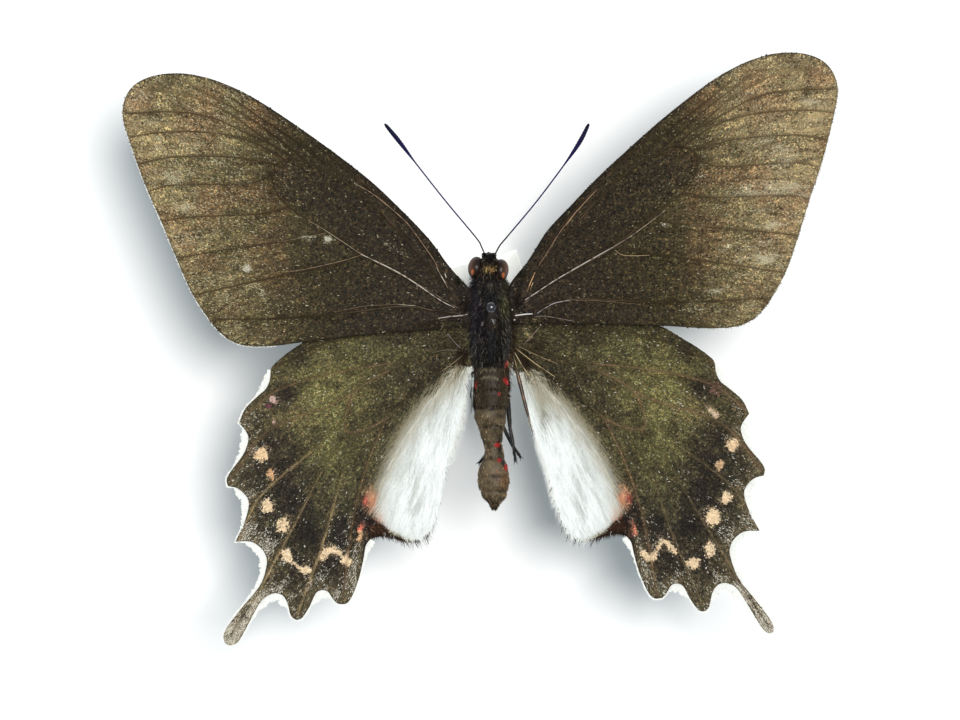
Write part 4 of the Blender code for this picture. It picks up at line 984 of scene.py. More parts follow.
def membrane_layout(wing):
    """Triangles over the wing that follow its outline and rows along every vein."""
    lines = []
    points, edges = list(map(tuple, wing.outline)), []
    for vein, width in zip(wing.veins, wing.widths):
        way = unit(np.gradient(vein, axis=0))
        side = np.stack([-way[:, 1], way[:, 0]], 1)
        half = width / 2 * (1 - VEIN_TAPER * np.linspace(0, 1, len(vein)))
        for share in (-1.0, -0.6, 0.0, 0.6, 1.0):
            row = vein + side * (half * share)[:, None]
            row = row[inside(row, wing.outline)]
            edges += [(len(points) + i, len(points) + i + 1) for i in range(len(row) - 1)]
            points += list(map(tuple, row))
            lines.append(row)
    fill = scatter(wing.outline, 0.62, seed=4)
    off = nearest(fill, [line for line in lines if len(line) > 1])[0]
    fill = fill[(off > 0.25) & (wing.survey(fill)["rim"] > 0.25)]
    points += list(map(tuple, fill))
    outline = list(range(len(wing.outline)))
    flat, _, faces, *_ = geometry.delaunay_2d_cdt([Vector(p) for p in points], edges, [outline], 1, 0.01)
    flat = np.array([tuple(p) for p in flat])
    faces = np.array([f for f in faces if len(f) == 3])
    a, b, c = (flat[faces[:, i]] for i in range(3))
    turn = (b[:, 0] - a[:, 0]) * (c[:, 1] - a[:, 1]) - (b[:, 1] - a[:, 1]) * (c[:, 0] - a[:, 0])
    faces[turn < 0] = faces[turn < 0][:, ::-1]
    return flat, faces[np.abs(turn) > 1e-9]


def wing_membrane(wing, paint):
    """The thin sheet with its raised veins, closed round its edge."""
    flat, faces = membrane_layout(wing)
    seen = wing.survey(flat)
    top, _ = wing.face(seen)
    low, _ = wing.face(seen, under=True)
    rim = rim_edges(faces)
    count = len(flat)
    walls = np.vstack([np.stack([rim[:, 1], rim[:, 0], rim[:, 0] + count], 1),
                       np.stack([rim[:, 1], rim[:, 0] + count, rim[:, 1] + count], 1)])
    every = np.vstack([faces, faces[:, ::-1] + count, walls])
    if wing.pose[0] < 0:
        every = every[:, ::-1]
    colours = paint(wing, seen)
    under = underside_tone(wing, flat, colours)
    return mesh_piece(f"{wing.kind}_{wing.side}_membrane", np.vstack([top, low]), every,
                      np.vstack([colours, under]) * 0.9)


def rim_edges(faces):
    """The edges that only one triangle has, in its own direction."""
    edges = np.vstack([faces[:, (0, 1)], faces[:, (1, 2)], faces[:, (2, 0)]])
    keys = np.sort(edges, axis=1)
    code = keys[:, 0] * (faces.max() + 1) + keys[:, 1]
    _, index, counts = np.unique(code, return_index=True, return_counts=True)
    return edges[index[counts == 1]]


def underside_tone(wing, points, colours):
    """The underside is greyer and paler, and its hindwing spots are rosier and wider."""
    grey = mixed(colours, (96, 86, 70), np.full(len(points), 0.45))
    if wing.kind == "hindwing":
        world = wing.place(points)
        for cx, cy, width, height, _ in HINDWING_SPOTS[wing.side]:
            grey = mixed(grey, (206, 96, 96), 0.9 * blot(world, (cx, cy), (width * 1.4, height * 1.3)))
        return paint_fold(points, grey)
    return grey


BARE_VEINS = ("cubitus", "anal_1", "radius")
# spacing and length of the scales
UPPER_SCALES = {"forewing": (0.135, 0.26), "hindwing": (0.124, 0.26)}
UNDER_SCALES = (0.25, 0.48)


def wing_scales(wing, paint, under, spacing, length, seed):
    """The coat of overlapping scales on one face of a wing, none of them past its edge."""
    rng = np.random.default_rng(seed)
    points = scatter(wing.outline, spacing, seed)
    if wing.kind == "hindwing":
        points = points[wool_depth(points) < 0.5 + 0.6 * rng.random(len(points))]
    way = wing.combed(points, rng.normal(0, 0.32, len(points)))
    sizes = length * rng.uniform(0.75, 1.2, len(points))
    off, which, _, _ = nearest(points, wing.veins)
    sizes = sizes * (0.6 + 0.4 * step(off, 0.08, 0.3))
    bare = np.isin(np.array(wing.names)[which], BARE_VEINS) & (points[:, 0] < 16) & (off < 0.07)
    if wing.kind == "forewing" and not under:
        points, way, sizes = picked(~bare, points, way, sizes)
    out = ~inside(points + way * sizes[:, None] * 1.05, wing.outline)
    sizes = np.where(out, sizes * 0.5, sizes)
    kept = inside(points + way * sizes[:, None] * 1.1, wing.outline)
    points, way, sizes = picked(kept, points, way, sizes)
    seen = wing.survey(points)
    kept = seen["rim"] > (0.16 if under else 0.07)
    points, way, sizes = picked(kept, points, way, sizes)
    seen = {key: values[kept] for key, values in seen.items()}
    count = len(points)
    roots, ups = wing.face(seen, under)
    ways = unit(np.column_stack([wing.laid(points, way), np.zeros(count)]))
    ways = unit(ways - ups * (ways * ups).sum(1, keepdims=True))
    rise = rng.uniform(0.03, 0.26, count) * step(seen["rim"], 0.05, 0.5)
    ways = unit(ways + ups * rise[:, None])
    colours = paint(wing, seen)
    if under:
        colours = underside_tone(wing, points, colours)
    colours, bright = speckle(wing, colours, seen, rng)
    tilt = unit(ups + 0.22 * rng.normal(0, 1, (count, 3)))
    widths = sizes * rng.uniform(0.62, 0.85, count) * np.where(bright, 0.42, 1.0)
    roots = roots - ups * np.where(bright, -0.02, 0.01)[:, None]
    return tufts(f"{wing.kind}_{wing.side}_{'under' if under else 'upper'}_scales",
                 (SCALE_ROWS * (1, 1, 0.35), SCALE_FACES), roots, ways, tilt, sizes, widths, colours,
                 colours, wing.unwrap(points))


FOREWING_FRINGE, HINDWING_FRINGE = (0.14, 0.3), (0.22, 0.85)  # shortest and longest
FOREWING_FRINGED, HINDWING_FRINGED = slice(14, 27), slice(1, 6)  # points, and stretches, of the margin
FRINGE_STEP = 0.045
FOLD_STRETCH, FOLD_STEP = 6, 0.015


def averaged(rows, reach):
    """Each row of a long list drawn to the mean of its neighbours on both sides."""
    padded = np.vstack([rows[:1]] * reach + [rows] + [rows[-1:]] * reach)
    window = np.ones(2 * reach + 1) / (2 * reach + 1)
    return np.stack([np.convolve(padded[:, i], window, "valid") for i in (0, 1)], 1)


def wing_fringe(wing, seed):
    """The white scales along the outer margin, longest in the hollows between the teeth."""
    rng = np.random.default_rng(seed)
    fore = wing.kind == "forewing"
    short, long = FOREWING_FRINGE if fore else HINDWING_FRINGE
    if fore:
        line = curve(wing.stretches[0][FOREWING_FRINGED], FRINGE_STEP)
    else:
        line = np.vstack([curve(s, FRINGE_STEP)[:-1] for s in wing.stretches[HINDWING_FRINGED]])
    way = unit(np.gradient(line, axis=0))
    out = np.stack([-way[:, 1], way[:, 0]], 1)
    outward = unit(averaged(out, 20))
    hollow = ((averaged(line, 60) - line) * out).sum(1)
    reach = short + (long - short) * step(hollow, -0.1, 0.4)
    rows = []
    for layer in range(4):
        keep = rng.random(len(line)) < 0.95
        jitter = rng.normal(0, 0.02, (keep.sum(), 2))
        rows.append((line[keep] - out[keep] * (0.04 + 0.04 * layer) + jitter, outward[keep], reach[keep]))
    points = np.vstack([r[0] for r in rows])
    outward = unit(np.vstack([r[1] for r in rows]) + rng.normal(0, 0.08, (len(points), 2)))
    ragged = 0.72 + 0.5 * cloud(points, 0.22, 29)
    reach = np.concatenate([r[2] for r in rows]) * rng.uniform(0.75, 1.1, len(points)) * ragged
    roots, ups = wing.face(wing.survey(points))
    roots[:, 2] -= rng.uniform(0.02, 0.14, len(points))
    ways = unit(np.column_stack([wing.laid(points, outward), rng.normal(0.0, 0.1, len(points))]))
    dark = rng.random(len(points)) < (0.3 if fore else 0.0)
    colours = np.where(dark[:, None], (96, 84, 66), (264, 264, 258)) * 1.0
    tilt = unit(ups + 0.2 * rng.normal(0, 1, ups.shape))
    return tufts(f"{wing.kind}_{wing.side}_fringe", (SCALE_ROWS * (1, 1, 0.4), SCALE_FACES), roots, ways,
                 tilt, reach, np.full(len(points), 0.11), colours, colours,
                 wing.unwrap(np.clip(points, wing.low, wing.high)))


def wing_wool(wing, seed):
    """Long silky hairs along the hindwing's fold, in locks, thinning over its two edges."""
    rng = np.random.default_rng(seed)
    points = scatter(wing.outline, 0.115, seed)
    deep = wool_depth(points)
    thin = step(deep, -1.7, 0.6)
    thin = thin * (1 - hem_share(points))
    points = points[(rng.random(len(points)) < thin ** 1.5) & (points[:, 1] < -6.6)]
    deep = wool_depth(points)
    count = len(points)
    lock = cloud(points * (1.0, 0.22), 0.45, 31)
    turns = rng.normal(0, 0.07, count) + (lock - 0.5) * 0.5
    way = rotated(unit(points - WOOL_HUB), turns)
    room = wool_room(wing, points, way)
    lengths = np.minimum(rng.uniform(2.2, 4.2, count) * (0.45 + 0.55 * step(deep, -0.8, 1.0)), room)
    roots, ups = wing.face(wing.survey(points))
    lift = 0.06 + 0.14 * lock + rng.uniform(0, 0.05, count)
    ways = unit(np.column_stack([wing.laid(points, way), lift]))
    bends = np.column_stack([rng.normal(0, 0.04, (count, 2)), -lift * rng.uniform(0.7, 0.95, count)])
    colours = ramp(deep, [(-1.6, (124, 114, 86)), (-0.8, (172, 162, 134)), (0.1, (222, 217, 200)),
                          (1.1, (254, 256, 251)), (2.6, (275, 277, 275))])
    for centre, size, colour, strength in PINK_PATCHES:
        colours = mixed(colours, colour, strength * glow(points, centre, size))
    # painted shade: grey streaks between the locks of the wool
    painted_lock_shade = cloud(fanned(points, WOOL_HUB) * (0.12, 1.0), 0.4, 33)
    colours = mixed(colours, (190, 192, 184), 0.5 * step(-painted_lock_shade, -0.3, -0.1))
    if wing.side == "right":
        colours = mixed(colours, (176, 168, 138), 0.6 * glow(points, (4.2, -8.8), (0.8, 1.4)))
        colours = mixed(colours, (84, 80, 60), 0.95 * glow(points, (4.2, -10.3), (0.4, 0.42)))
    tips = mixed(colours, (276, 278, 276), 0.5 * step(deep, 0.6, 1.6))
    return tufts(f"hindwing_{wing.side}_wool", hair_shape(2), roots, ways, ups, lengths,
                 rng.uniform(0.06, 0.1, count), colours, tips, wing.unwrap(points), bends)


def wool_room(wing, points, way):
    """How far a hair can go before it passes the wing's inner edge or reaches the dark hem."""
    room = np.full(len(points), 5.0)
    for reach in np.arange(4.2, 0.1, -0.25):
        tips = points + way * reach
        out = ~inside(tips, wing.outline) | (hem_share(tips) > 0.5)
        room = np.where(out, reach - 0.1, room)
    return room


FOLD_HAIRS = {
    # share of the way round the fold's end and inner edge, hairs per millimetre, length, brown share
    "left": [(0.0, 45, 0.6, 0.95), (0.13, 45, 0.9, 0.95), (0.17, 18, 1.2, 0.6), (0.3, 14, 1.3, 0.35),
             (0.38, 16, 0.9, 0.1), (0.45, 20, 0.4, 0.03), (0.58, 40, 0.5, 0.02), (0.66, 70, 1.3, 0.01),
             (0.8, 70, 1.5, 0.01), (0.9, 60, 1.0, 0.02), (1.0, 30, 0.5, 0.1)],
    "right": [(0.0, 45, 0.6, 0.95), (0.13, 45, 0.9, 0.95), (0.17, 18, 1.2, 0.6), (0.3, 14, 1.3, 0.35),
              (0.36, 40, 1.0, 0.1), (0.45, 60, 1.0, 0.03), (0.7, 60, 0.9, 0.02), (0.8, 20, 0.4, 0.1),
              (1.0, 10, 0.3, 0.3)],
}


def fold_fringe(wing, seed):
    """Bristles past the end of the fold, and white hairs over its inner edge."""
    rng = np.random.default_rng(seed)
    line = curve(wing.stretches[FOLD_STRETCH], FOLD_STEP)
    along = np.linspace(0, 1, len(line))
    stops = np.array(FOLD_HAIRS[wing.side]).T
    keep = rng.random(len(line)) < np.interp(along, stops[0], stops[1]) * FOLD_STEP
    line, along = line[keep], along[keep]
    count = len(line)
    end = along < 0.42
    down = np.column_stack([rng.normal(-0.35, 0.25, count), np.full(count, -1.0)])
    inward = np.column_stack([np.full(count, -0.55), rng.normal(-0.9, 0.2, count)])
    way = unit(np.where(end[:, None], down, inward))
    lengths = np.interp(along, stops[0], stops[2]) * rng.uniform(0.5, 1.15, count)
    placed = line - way * (rng.uniform(0.1, 0.5, count) * np.where(end, 1.0, 0.6))[:, None]
    roots, ups = wing.face(wing.survey(placed))
    roots[:, 2] += rng.uniform(0.0, 0.2, count)
    ways = unit(np.column_stack([wing.laid(placed, way), rng.uniform(-0.1, 0.2, count)]))
    brown = rng.random(count) < np.interp(along, stops[0], stops[3])
    colours = np.where(brown[:, None], (64, 48, 38), (276, 276, 272)) * 1.0
    return tufts(f"hindwing_{wing.side}_fold_hairs", hair_shape(1), roots, ways, ups, lengths,
                 rng.uniform(0.035, 0.06, count), colours, colours,
                 wing.unwrap(np.clip(placed, wing.low, wing.high)))


LOOSE_TUFTS = {
    # kind: drawn place, spread, how many hairs, their length, and colours at root and tip
    "forewing": [((2.7, 0.6), (0.5, 0.9), 260, 0.8, (32, 28, 27), (54, 46, 38)),
                 ((4.4, -1.6), (1.3, 0.35), 90, 0.7, (60, 55, 40), (112, 104, 78)),
                 ((3.4, 3.0), (0.4, 0.5), 120, 0.6, (30, 32, 24), (46, 48, 34))],
    "hindwing": [((4.6, -2.2), (1.7, 0.8), 170, 0.9, (60, 55, 40), (128, 120, 88)),
                 ((4.2, -3.6), (1.4, 0.9), 200, 1.0, (42, 36, 28), (104, 94, 72)),
                 ((3.0, -5.0), (0.5, 0.9), 320, 1.1, (42, 35, 29), (74, 62, 48)),
                 ((3.6, -6.7), (0.6, 0.45), 240, 1.6, (126, 116, 90), (230, 224, 204)),
                 ((12.6, -24.6), (1.0, 0.5), 900, 0.7, (58, 42, 34), (84, 62, 48))],
}


def loose_hairs(wing, seed):
    """Loose hairs over the wing's base, combed outwards from the body, and over the fold's hem."""
    rng = np.random.default_rng(seed)
    parts = []
    for centre, spread, count, length, colour, tip in LOOSE_TUFTS[wing.kind]:
        at = np.array(centre) + rng.normal(0, 0.55, (count, 2)) * spread
        kept = inside(at, wing.outline)
        if centre[1] < -20:
            kept &= hem_share(at) > 0.3
        at = at[kept]
        parts.append((at, np.full(len(at), length), np.tile(colour, (len(at), 1)),
                      np.tile(tip, (len(at), 1))))
    points, lengths, colours, tips = (np.concatenate(p) for p in zip(*parts))
    count = len(points)
    roots, ups = wing.face(wing.survey(points))
    way = wing.combed(points, rng.normal(0, 0.38, count))
    hem = points[:, 1] < -20
    way = np.where(hem[:, None], unit(rng.normal(0, 0.3, (count, 2)) + (-0.75, -0.66)), way)
    lift = rng.uniform(0.1, 0.5, count) * np.where(hem, 0.5, 1.0)
    ways = unit(np.column_stack([wing.laid(points, way), lift]))
    bends = np.column_stack([rng.normal(0, 0.12, (count, 2)), -0.7 * lift])
    shade = np.exp(rng.normal(0, 0.35, count))[:, None]
    return tufts(f"{wing.kind}_{wing.side}_loose_hairs", hair_shape(2), roots, ways, ups,
                 lengths * rng.uniform(0.4, 1.1, count), rng.uniform(0.04, 0.07, count),
                 colours * shade, tips * shade, wing.unwrap(points), bends)


# paths of the rolled inner edges of the hindwings, their colours in the middle, partly painted sheen, and
# at the sides, painted shade
INNER_ROLLS = {
    "left": ([(-1.75, -7.3), (-1.85, -8.8), (-1.9, -10.3), (-1.98, -11.4), (-2.15, -12.3)],
             (176, 182, 178), (64, 58, 52)),
    "right": ([(3.1, -6.8), (3.55, -8.6), (4.1, -10.8), (4.65, -12.8), (5.0, -14.2)],
              (124, 94, 60), (46, 35, 27)),
}


def inner_roll(side, materials):
    """The rolled edge of a hindwing beside the abdomen, with painted sheen along its middle and painted
    shade at its sides.
    """
    line, middle, rim = INNER_ROLLS[side]
    path = curve(line, 0.12)
    path = np.column_stack([path, np.full(len(path), WING_Z - HIND_DROP + 0.25)])
    t = np.linspace(0, 1, len(path))
    radii = np.interp(t, (0, 0.2, 0.6, 1), (0.16, 0.22, 0.18, 0.05)) * (1.0 if side == "right" else 0.7)
    colours = mixed(shaded(len(path), middle), rim, 0.6 * step(cloud(path, 0.5, 51), 0.4, 0.7))
    verts, faces, shades = tube(path, radii, 14, colours)
    # painted shade: the tube drawn darker away from its middle line
    across = verts[:, 0] - np.interp(-verts[:, 1], -path[:, 1], path[:, 0])
    shades = mixed(shades, rim, step(np.abs(across), 0.08, 0.2))
    dress(mesh_piece(f"hindwing_{side}_inner_roll", verts, faces, shades), materials["horn"],
          "hindwing_scales")


def bare_lines(wing, materials):
    """The bare gleaming veins that stand out of the scales at a wing's base."""
    parts = []
    lines = FOREWING_LINES if wing.kind == "forewing" else HINDWING_LINES
    for radius, colour, path in lines[wing.side]:
        line = curve(path, 0.08)
        heights = wing.level(line) + MEMBRANE / 2 + VEIN_HEIGHT + 0.06
        swell = 0.55 + 0.45 * np.sin(np.linspace(0.25, math.pi - 0.25, len(line)))
        dull = 0.7 * step(cloud(line, 0.35, 52), 0.55, 0.8)
        shades = mixed(shaded(len(line), colour), (96, 76, 58), dull)
        parts.append(tube(np.column_stack([line, heights]), radius * swell, 8, shades))
    dress(mesh_piece(f"{wing.kind}_{wing.side}_bare_veins", *joined(parts)), materials["horn"],
          wing.kind + "_scales")


def build_wings(materials):
    """All pieces of the four wings, with random seeds of their own."""
    for kind, paint in (("forewing", paint_forewing), ("hindwing", paint_hindwing)):
        slot = kind + "_scales"
        for number, side in enumerate(("left", "right")):
            wing = Wing(kind, side)
            seed = 100 * (1 + number) + (0 if kind == "forewing" else 50)
            dress(wing_membrane(wing, paint), materials["membrane"], slot, f"{kind}_{side}")
            dress(wing_scales(wing, paint, False, *UPPER_SCALES[kind], seed), materials["scales"], slot)
            dress(wing_scales(wing, paint, True, *UNDER_SCALES, seed + 1), materials["scales"], slot)
            dress(wing_fringe(wing, seed + 2), materials["wool"], slot)
            dress(loose_hairs(wing, seed + 3), materials["fur"], slot)
            if kind == "hindwing":
                dress(wing_wool(wing, seed + 4), materials["wool"], slot)
                dress(fold_fringe(wing, seed + 5), materials["wool"], slot)
                inner_roll(side, materials)
            bare_lines(wing, materials)


class Body:
    """The one skin over head, thorax and abdomen, as rings of points."""

    def __init__(self):
        table = curve(BODY_SECTIONS, BODY_STEP)
        self.y = table[:, 0]
        angle = 2 * math.pi * np.arange(BODY_SIDES) / BODY_SIDES
        across, up = np.cos(angle), np.sin(angle)
        power = 2 / SECTION_POWER
        across = np.sign(across) * np.abs(across) ** power
        up = np.sign(up) * np.abs(up) ** power
        rings = np.array(SEGMENT_RINGS)
        near = (self.y[:, None] - rings) / BODY_STEP
        groove = 0.11 * np.exp(-near ** 2).sum(1)
        width = np.maximum(table[:, 2] - groove, 0.02)
        middle, half = WING_Z + (table[:, 3] + table[:, 4]) / 2, (table[:, 3] - table[:, 4]) / 2 - groove
        x = table[:, 1][:, None] + width[:, None] * across
        z = middle[:, None] + np.maximum(half, 0.02)[:, None] * up
        self.rings = np.stack([x, np.repeat(self.y[:, None], BODY_SIDES, 1), z], 2)
        along = np.gradient(self.rings, axis=0)
        around = np.roll(self.rings, -1, 1) - np.roll(self.rings, 1, 1)
        self.ups = unit(np.cross(around, along))
        centre = self.rings.mean(1, keepdims=True)
        flip = ((self.rings - centre) * self.ups).sum(2) < 0
        self.ups[flip] *= -1
        self.last_row = len(self.y) - 1.01

    def row(self, y):
        """Which ring, with its fraction, lies at y."""
        return np.interp(-y, -self.y, np.arange(len(self.y)))

    def at(self, rows, angles):
        """Points of the skin and the ways they look, at parts of a ring and of the length."""
        columns = angles / (2 * math.pi) * BODY_SIDES
        i, j = np.floor(rows).astype(int), np.floor(columns).astype(int)
        fi, fj = (rows - i)[:, None], (columns - j)[:, None]
        i1, j1 = np.minimum(i + 1, len(self.y) - 1), (j + 1) % BODY_SIDES
        j = j % BODY_SIDES

        def blend(grid):
            return ((grid[i, j] * (1 - fj) + grid[i, j1] * fj) * (1 - fi)
                    + (grid[i1, j] * (1 - fj) + grid[i1, j1] * fj) * fi)

        return blend(self.rings), unit(blend(self.ups))


# colours of the body, as they show on screen; red patches: x, y and size
RED_PATCHES = [(2.1, -5.9, 0.5), (2.1, -8.05, 0.55), (-1.7, -8.35, 0.5), (1.15, -9.5, 0.16),
               (0.9, -15.2, 0.35), (1.15, -17.0, 0.3), (2.0, -17.8, 0.4), (0.9, -18.3, 0.15)]
# y and the colour there
BODY_TONES = [(-22.7, (47, 38, 29)), (-21.6, (80, 66, 51)), (-20.8, (127, 108, 82)),
              (-18.5, (140, 120, 92)), (-15.0, (120, 103, 78)), (-11.5, (114, 97, 72)),
              (-10.9, (74, 62, 46)), (-7.2, (70, 58, 43)), (-6.8, (38, 36, 34)), (3.0, (36, 35, 34)),
              (5.0, (50, 43, 36)), (6.0, (36, 33, 31))]
BODY_SHADES = [
    # x, y, size across and along, colour and strength of soft patches on the upper side
    ((-1.2, -0.5), (0.9, 3.6), (44, 38, 48), 0.8),
    ((1.7, 0.8), (0.55, 1.5), (92, 92, 58), 0.8),
    ((0.4, -1.4), (0.9, 0.8), (72, 58, 48), 0.8),
    ((0.25, 2.6), (0.55, 0.6), (92, 84, 72), 0.8),
    ((0.05, 4.7), (0.6, 0.35), (120, 92, 58), 0.8),
    ((1.35, -15.3), (0.5, 1.2), (22, 26, 22), 0.95),
    ((1.6, -17.2), (0.3, 0.5), (34, 34, 30), 0.8),
    ((-1.1, -17.5), (0.5, 2.0), (88, 76, 60), 0.6),
    ((0.1, -17.6), (0.25, 0.9), (168, 146, 112), 0.7),
    ((1.7, -19.2), (0.6, 0.8), (134, 92, 58), 0.7),
]


def paint_body(points):
    """Screen colours of skin and fur at points of the body."""
    y, z = points[:, 1], points[:, 2]
    flat = points[:, :2]
    top = z > WING_Z - 1.3
    colours = ramp(y, BODY_TONES)
    blotchy = cloud(points, 0.7, 41)
    behind = step(-y, 11, 12)
    colours = mixed(colours, (166, 146, 114), 0.45 * step(blotchy, 0.6, 0.95) * behind)
    colours = mixed(colours, (52, 46, 36), 0.5 * step(-blotchy, -0.35, -0.1) * behind)
    for centre, size, colour, strength in BODY_SHADES:
        colours = mixed(colours, colour, strength * glow(flat, centre, size) * top)
    waist = step(-np.abs(y - WAIST_Y), -0.35, -0.1) * (z > WING_Z - 0.8)
    colours = mixed(colours, (110, 96, 74), 0.6 * waist)
    grooves = np.exp(-((y[:, None] - np.array(SEGMENT_RINGS)) / 0.13) ** 2).sum(1)
    uneven = step(cloud(flat * (1.0, 0.3), 0.8, 43), 0.3, 0.7)
    colours = mixed(colours, (52, 43, 33), 0.45 * grooves * uneven)
    for band in PALE_BANDS:
        colours = mixed(colours, (156, 146, 116), 0.85 * top * streak(flat, band, 0.15))
    for crease in CREASES:
        colours = mixed(colours, (34, 27, 22), 0.8 * top * streak(flat, crease, 0.12))
    for cx, cy, size in RED_PATCHES:
        red = step(glow(flat, (cx, cy), (size, size)) + 0.3 * (cloud(flat, 0.3, 42) - 0.5), 0.35, 0.6)
        colours = mixed(colours, (206, 52, 50), 0.92 * red)
    return colours


def ring_faces(rings, sides):
    """Triangles of a skin over rings of points, closed at its ends by two more points."""
    i, j = np.meshgrid(np.arange(rings - 1), np.arange(sides), indexing="ij")
    a, b = i * sides + j, i * sides + (j + 1) % sides
    quads = np.stack([a, b, b + sides, a + sides], 2).reshape(-1, 4)
    ring, count = np.arange(sides), rings * sides
    after, last = (ring + 1) % sides, count - sides
    return np.vstack([quads[:, (0, 1, 2)], quads[:, (0, 2, 3)],
                      np.stack([after, ring, np.full(sides, count)], 1),
                      np.stack([ring + last, after + last, np.full(sides, count + 1)], 1)])


def body_skin(body):
    """The closed skin below the fur, drawn darker than the hairs over it as painted shade under the coat.
    """
    verts = np.vstack([body.rings.reshape(-1, 3), body.rings[0].mean(0), body.rings[-1].mean(0)])
    return mesh_piece("body_skin", verts, ring_faces(*body.rings.shape[:2]), paint_body(verts) * 0.8)


FUR_ZONES = [
    # y from and to, hairs, length, width, lean back, how much shorter it is below, and how ruffled
    (5.9, 4.3, 2200, 0.5, 0.05, 0.7, 0.7, 0.45),
    (4.3, 2.2, 3300, 0.62, 0.05, 1.2, 1.0, 0.4),
    (2.2, -2.4, 5800, 0.72, 0.05, 1.5, 1.2, 0.42),
    (-2.4, -6.0, 4700, 0.68, 0.05, 1.8, 1.1, 0.36),
    (-6.0, -11.2, 3400, 0.4, 0.055, 2.4, 0.9, 0.25),
    (-11.2, -22.5, 5300, 0.27, 0.075, 3.4, 1.0, 0.3),
]
BODY_TUFTS = [
    # tufts that stand off the body: x, y, spread, hairs, length, way and colour
    (0.1, 5.5, (0.28, 0.2), 260, 0.85, (0.0, 0.9, 0.6), (40, 38, 38)),
    (0.05, 4.6, (0.5, 0.22), 130, 0.5, (0.1, -0.3, 0.9), (206, 162, 104)),
    (-1.0, 4.1, (0.2, 0.35), 120, 0.7, (-0.3, -0.5, 0.8), (44, 36, 34)),
    (1.15, 4.1, (0.25, 0.35), 200, 0.75, (0.5, 0.1, 0.8), (40, 33, 32)),
    (-1.45, 2.2, (0.2, 1.0), 1000, 1.3, (-0.9, -0.25, 0.15), (32, 29, 32)),
    (1.6, 2.7, (0.2, 0.6), 800, 1.05, (0.9, -0.2, 0.15), (46, 43, 34)),
    (1.75, -5.4, (0.15, 0.8), 420, 1.2, (0.8, -0.55, 0.1), (78, 64, 48)),
    (1.9, -3.2, (0.12, 1.3), 900, 1.35, (0.95, -0.3, 0.0), (50, 42, 32)),
    (2.0, -8.0, (0.1, 1.3), 420, 0.6, (0.8, -0.6, 0.15), (46, 38, 31)),
    (-1.6, -7.6, (0.1, 1.0), 340, 0.55, (-0.8, -0.6, 0.15), (44, 37, 31)),
    # the last two are tiny tufts of white hairs painted as highlights on the thorax
    (0.1, -1.2, (0.05, 0.08), 14, 0.5, (0.1, -0.5, 0.85), (250, 250, 252)),
    (-0.42, -1.55, (0.04, 0.06), 10, 0.42, (0.0, -0.5, 0.85), (250, 250, 252)),
]
PALE_BANDS = [[(-0.9, -6.85), (0.0, -6.65), (0.9, -6.85)], [(-0.7, -7.75), (0.1, -7.6), (0.9, -7.75)]]
CREASES = [[(-0.56, -13.3), (0.9, -13.1), (1.7, -13.6)], [(-1.5, -10.9), (0.4, -11.3), (1.9, -11.0)],
           [(-0.4, -16.2), (0.5, -16.9), (1.5, -16.6)]]
FUR_PARTED_AT = -1.0  # y where the fur is parted into two pieces
UNWRAP_FRONT, UNWRAP_LENGTH = 5.95, 28.6  # y of the body's front end, and its length, on the unwrap


def body_unwrap(roots, angles):
    """Places from 0 to 1 round the body and along it."""
    return np.column_stack([angles / (2 * math.pi), (UNWRAP_FRONT - roots[:, 1]) / UNWRAP_LENGTH])


def zone_fur(body, rng, front, back, count, length, width, lean, below, ruffle):
    """Roots, ways, skin's ways, lengths, widths, colours and unwrap of the hairs of one zone."""
    rows = rng.uniform(body.row(front), min(body.row(back), body.last_row), count)
    angles = rng.uniform(0, 2 * math.pi, count)
    roots, ups = body.at(rows, angles)
    clear = np.hypot(roots[:, 0] - PIN_XY[0], roots[:, 1] - PIN_XY[1]) > 0.4
    roots, ups, angles = picked(clear | (ups[:, 2] < 0), roots, ups, angles)
    n = len(roots)
    middle = (np.abs(roots[:, 0] - 0.2) < 0.3) & (roots[:, 1] < -2.3) & (roots[:, 1] > -5.8)
    middle &= ups[:, 2] > 0.3
    clumped = (cloud(roots, 0.45, 62) - 0.5) * 2.4
    comb = np.column_stack([clumped * ruffle + rng.normal(0, ruffle, n), -np.ones(n),
                            rng.normal(0, 0.3, n)])
    ways = unit(ups + comb * lean + rng.normal(0, 0.5 * ruffle, (n, 3)))
    lengths = length * rng.uniform(0.5, 1.15, n) * np.where(ups[:, 2] < 0, below, 1.0)
    lengths = lengths * np.where(middle, 0.45, 1.0)
    colours = paint_body(roots) * np.exp(rng.normal(-0.1, 0.5 if front > -6 else 0.34, n))[:, None]
    # a few hairs painted pale as glints, which are painted highlights
    light = (rng.random(n) < 0.07) & (front > -5) & ~middle
    glint = mixed(colours, (196, 176, 148), rng.uniform(0.3, 0.9, n))
    colours = np.where(light[:, None], glint, colours)
    colours = np.where(middle[:, None], mixed(colours, (40, 42, 52), np.full(n, 0.7)), colours)
    widths = width * rng.uniform(0.7, 1.2, n)
    return roots, ways, ups, lengths, widths, colours, body_unwrap(roots, angles)


def standing_tuft(body, rng, x, y, spread, count, length, way, colour):
    """The same as for a zone, for one tuft that stands off the body."""
    rows = body.row(y + rng.normal(0, spread[1], count))
    angles = math.pi / 2 - (x + rng.normal(0, spread[0], count)) / 1.2
    roots, ups = body.at(np.minimum(rows, body.last_row), angles)
    ways = unit(np.array(way) + rng.normal(0, 0.38, (count, 3)))
    colours = shaded(count, colour) * np.exp(rng.normal(0, 0.45, count))[:, None]
    lengths = length * rng.uniform(0.5, 1.1, count)
    return roots, ways, ups, lengths, np.full(count, 0.06), colours, body_unwrap(roots, angles)


